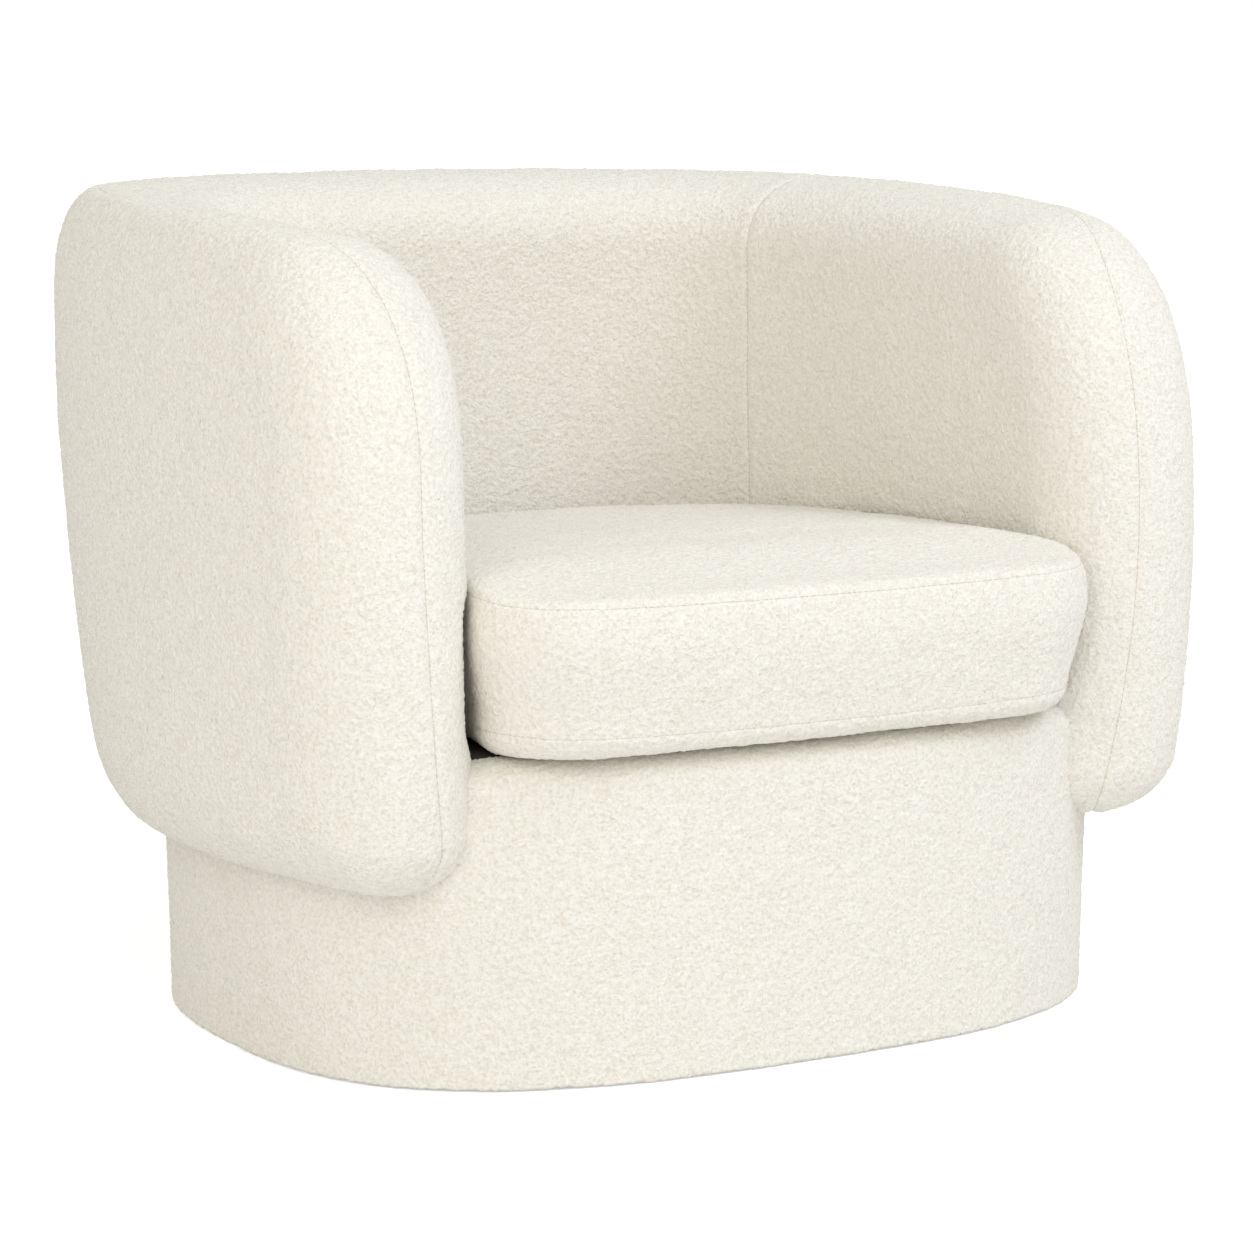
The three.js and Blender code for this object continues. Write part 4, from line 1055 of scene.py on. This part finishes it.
def cushionLoops(profile):
    plan = cushionPlan()
    back, front = plan[0, 1], cushion["front"]
    middleY, halfDepth = (back + front) / 2, (back - front) / 2
    start, end = cushion["swellReach"]
    free = smoothStep((start - plan[:, 1]) / (start - end))
    loops = []
    for drawn, height in profile:
        inset = max(drawn, 0) + min(drawn, 0) * free
        t = inset / cushion["halfWidth"]
        deep = 1 - inset / (halfDepth + (cushion["halfWidth"] - halfDepth) * t)
        x = plan[:, 0] * (1 - t)
        y = middleY + (plan[:, 1] - middleY) * deep
        loops.append(np.c_[x, y + yShift, height - leaning(height, y) + cornerLift(height, x, y)])
    return loops


def cushionProfile():
    low, high = cushion["seams"]
    lowInset, highInset = cushion["seamInsets"]
    bends = np.linspace(math.pi / 2, 0, 14)
    half, edgeRound = cushion["halfWidth"], cushion["edgeRound"]
    sag, sagReach = cushion["sag"]
    under = lowInset + edgeRound
    edgeBase = cushion["base"] - sag
    base = [(inset, cushion["base"] - sag * (1 - smoothStep((inset - under) / sagReach)))
            for inset in np.linspace(half * 0.98, under, 60)[:-1]]
    turn = [(lowInset + edgeRound * (1 - math.cos(b)), low - (low - edgeBase) * math.sin(b)) for b in bends]
    swell, swellPower, drawPower = cushion["sideSwell"], cushion["swellPower"], 1.2
    boxing = []
    for t in np.linspace(0, 1, 24)[1:]:
        inset = highInset + (lowInset - highInset) * (1 - t) ** drawPower
        boxing.append((inset - swell * math.sin(math.pi * t**swellPower), low + (high - low) * t))
    power = cushion["crownPower"]
    top = [(highInset + (half - highInset) * t,
            high + (cushion["crown"] - high) * (1 - (1 - t) ** power) ** (1 / power))
           for t in np.linspace(0, 0.99, 60)[1:] ** 1.6]
    return base + turn + boxing + top


def cushionForm():
    loops = cushionLoops(cushionProfile())
    around = len(loops[0])
    quads, index = ringFaces(around, len(loops))
    verts = np.concatenate(loops)
    ends = np.array([loops[0].mean(0), loops[-1].mean(0)])
    under, over = np.full(around, len(verts)), np.full(around, len(verts) + 1)
    foot = np.c_[index[0, :-1], index[0, 1:], under, under]
    head = np.c_[index[-1, 1:], index[-1, :-1], over, over]
    return np.r_[verts, ends], np.r_[quads[:, ::-1], foot, head]


def seamLoop(inset, height):
    loop = cushionLoops([(inset, height)])[0]
    return evenLine(np.r_[loop, loop[:1]])


def seamHeight(which, points):
    height = cushion["seams"][which]
    y = points[:, 1] - yShift
    return height - leaning(height, y) + cornerLift(height, points[:, 0], y)


def filled(verts, quads, sewn):  # blows the cover up in Blender's cloth and gives its points back
    thing = newObject("cushionBlow", newMesh("cushionBlow", verts, quads))
    group = thing.vertex_groups.new(name="sewn")
    group.add(np.nonzero(sewn)[0].tolist(), 1.0, "REPLACE")
    cloth = thing.modifiers.new("cover", "CLOTH")
    for name, value in cushion["cloth"].items():
        setattr(cloth.settings, name, value)
    cloth.settings.use_pressure = True
    cloth.settings.uniform_pressure_force = cushion["pressure"]
    cloth.settings.vertex_group_mass = "sewn"
    cloth.settings.effector_weights.gravity = 0
    cloth.collision_settings.use_collision = False
    scene = bpy.context.scene
    for step in range(1, cushion["frames"] + 1):
        scene.frame_set(step)
    blown, _ = evaluated(thing)
    scene.frame_set(1)
    move = blown - verts
    length = np.linalg.norm(move, axis=1)[:, None]
    print("cushion blown, largest move", round(float(length.max()) * 1000, 1), "mm")
    return verts + move * np.minimum(1, cushion["cap"] / np.maximum(length, 1e-9))


def heldToForm(points, formVerts, formQuads):  # keeps the filled cover close to the sewn form
    faces = [face[:3] if face[2] == face[3] else face for face in formQuads.tolist()]
    tree = bvhtree.BVHTree.FromPolygons(formVerts.tolist(), faces)
    limit = cushion["offForm"]
    out = points.copy()
    for index, point in enumerate(points):
        spot, normal, _, _ = tree.find_nearest(point)
        over = float(np.dot(point - np.array(spot), np.array(normal)))
        if abs(over) > limit:
            out[index] = point - np.array(normal) * (over - math.copysign(limit, over))
    return out


def makeCushion():
    form, formQuads = cushionForm()
    verts, quads = voxelSkin(form, formQuads, cushion["voxel"])
    verts = smoothed(verts, quads, cushion["smoothRounds"])
    low, high = [seamLoop(*seam) for seam in zip(cushion["seamInsets"], cushion["seams"])]
    lowAway, _ = nearestOn(low, verts)
    highAway, _ = nearestOn(high, verts)
    near = np.minimum(lowAway, highAway)
    heldReach, easeReach = cushion["sewnReach"]
    ease = 1 - np.exp(-((near / easeReach) ** 2))
    start = verts - normalsOf(verts, quads) * cushion["startInset"] * ease[:, None]
    verts = filled(start, quads, near < heldReach)
    verts = smoothed(heldToForm(verts, form, formQuads), quads, cushion["smoothRounds"])
    thing = newObject("cushionFine", newMesh("cushionFine", verts, quads))
    fine = thing.modifiers.new("fine", "SUBSURF")
    fine.levels = 1
    fine.render_levels = 1
    verts, quads = evaluated(thing)
    verts[:, 2] = np.maximum(verts[:, 2], deckTop(verts) + cushion["offDeck"])
    lowAway, lowAlong = nearestOn(low, verts)
    highAway, highAlong = nearestOn(high, verts)
    lowAway = np.where(verts[:, 2] < seamHeight(0, verts), -lowAway, lowAway)
    highAway = np.where(verts[:, 2] < seamHeight(1, verts), -highAway, highAway)
    seams = [(lowAway, lowAlong), (highAway, highAlong)]
    verts = clothed(verts, quads, seams, cushion["seamPull"])
    normals = normalsOf(verts, quads)
    faceLow, faceHigh = lowAway[quads].mean(1), highAway[quads].mean(1)
    for name, keep, replaced in (
        ("cushion_top", faceHigh >= 0, ("cushion_top_panel", "cushion_core")),
        ("cushion_side", (faceLow >= 0) & (faceHigh < 0), ("cushion_boxing",)),
        ("cushion_base", faceLow < 0, ("cushion_bottom_panel",)),
    ):
        piece = cutPiece(name, verts, normals, quads, keep, seams, materials["boucle"])
        settle(piece, "cushion", replaced)


makeCushion()


# Stage, light and camera

studio = {
    "floor": (0.93, 0.93, 0.93),
    "floorSize": 60,
    "floorGlow": (0.40, 0.55),  # what the camera sees added, near the chair and far off
    "floorReach": (0.9, 4.0),
    "worldLight": (0.705, 0.700, 0.675),  # the soft light from all round, seen by the camera as white
    "aim": (0.0, 0.0, 0.4),
    "lamps": (
        # name, place, width, depth, watts, colour
        ("keyLamp", (1.6, -2.2, 3.2), 1.8, 1.8, 46, (0.83, 0.88, 1.0)),
        ("fillLamp", (-2.9, -2.4, 1.9), 2.2, 1.8, 20, (1.0, 0.95, 0.84)),
        ("frontLamp", (-1.6, -3.0, 2.3), 1.8, 1.8, 19, (1.0, 1.0, 0.97)),
    ),
}


def makeStage():
    corners = np.array([(-1, -1, 0), (1, -1, 0), (1, 1, 0), (-1, 1, 0)], float)
    board = Board(bpy.data.materials.new("floorWhite"))
    glow = board.spanned(board.distance(board.place), studio["floorReach"], studio["floorGlow"])
    board.put(board.shader.inputs["Emission Strength"], board.maths("MULTIPLY", board.seenDirectly(), glow))
    board.shader.inputs["Emission Color"].default_value = (1, 1, 1, 1)
    material = board.finish((*studio["floor"], 1), 0.9, Specular_IOR_Level=0.0)
    verts = corners * studio["floorSize"] / 2
    floor = newObject("floor", newMesh("floor", verts, np.array([[0, 1, 2, 3]])), material)

    board = Board(bpy.data.worlds.new("studio"))
    bpy.context.scene.world = board.owner
    colour = board.mixed(board.seenDirectly(), (*studio["worldLight"], 1), (1, 1, 1))
    board.put(board.shader.inputs["Color"], colour)

    for name, place, width, depth, watts, tint in studio["lamps"]:
        lamp = bpy.data.lights.new(name, "AREA")
        lamp.color = tint
        lamp.shape = "RECTANGLE"
        lamp.size, lamp.size_y = width, depth
        lamp.energy = watts
        thing = bpy.data.objects.new(name, lamp)
        bpy.context.scene.collection.objects.link(thing)
        thing.location = place
        down = np.array(studio["aim"]) - np.array(place)
        down = down / np.linalg.norm(down)
        thing.rotation_euler = (math.acos(-down[2]), 0, math.atan2(-down[0], down[1]))


view = {
    "place": (-1.771, -3.095, 0.875),
    "pitch": 8.484,  # degrees down
    "heading": 29.756,  # degrees to the right of straight on
    "lens": 110.59,
    "sensor": 36,
    "farthest": 100,
}


def makeCamera():
    camera = bpy.data.cameras.new("camera")
    camera.lens = view["lens"]
    camera.sensor_width = view["sensor"]
    camera.clip_end = view["farthest"]
    thing = bpy.data.objects.new("camera", camera)
    bpy.context.scene.collection.objects.link(thing)
    x, y, z = view["place"]
    thing.location = (x, y + yShift, z)
    thing.rotation_euler = (math.radians(90 - view["pitch"]), 0, -math.radians(view["heading"]))
    bpy.context.scene.camera = thing


makeStage()
makeCamera()
bpy.context.scene.view_settings.view_transform = "Standard"
print("stage ready")
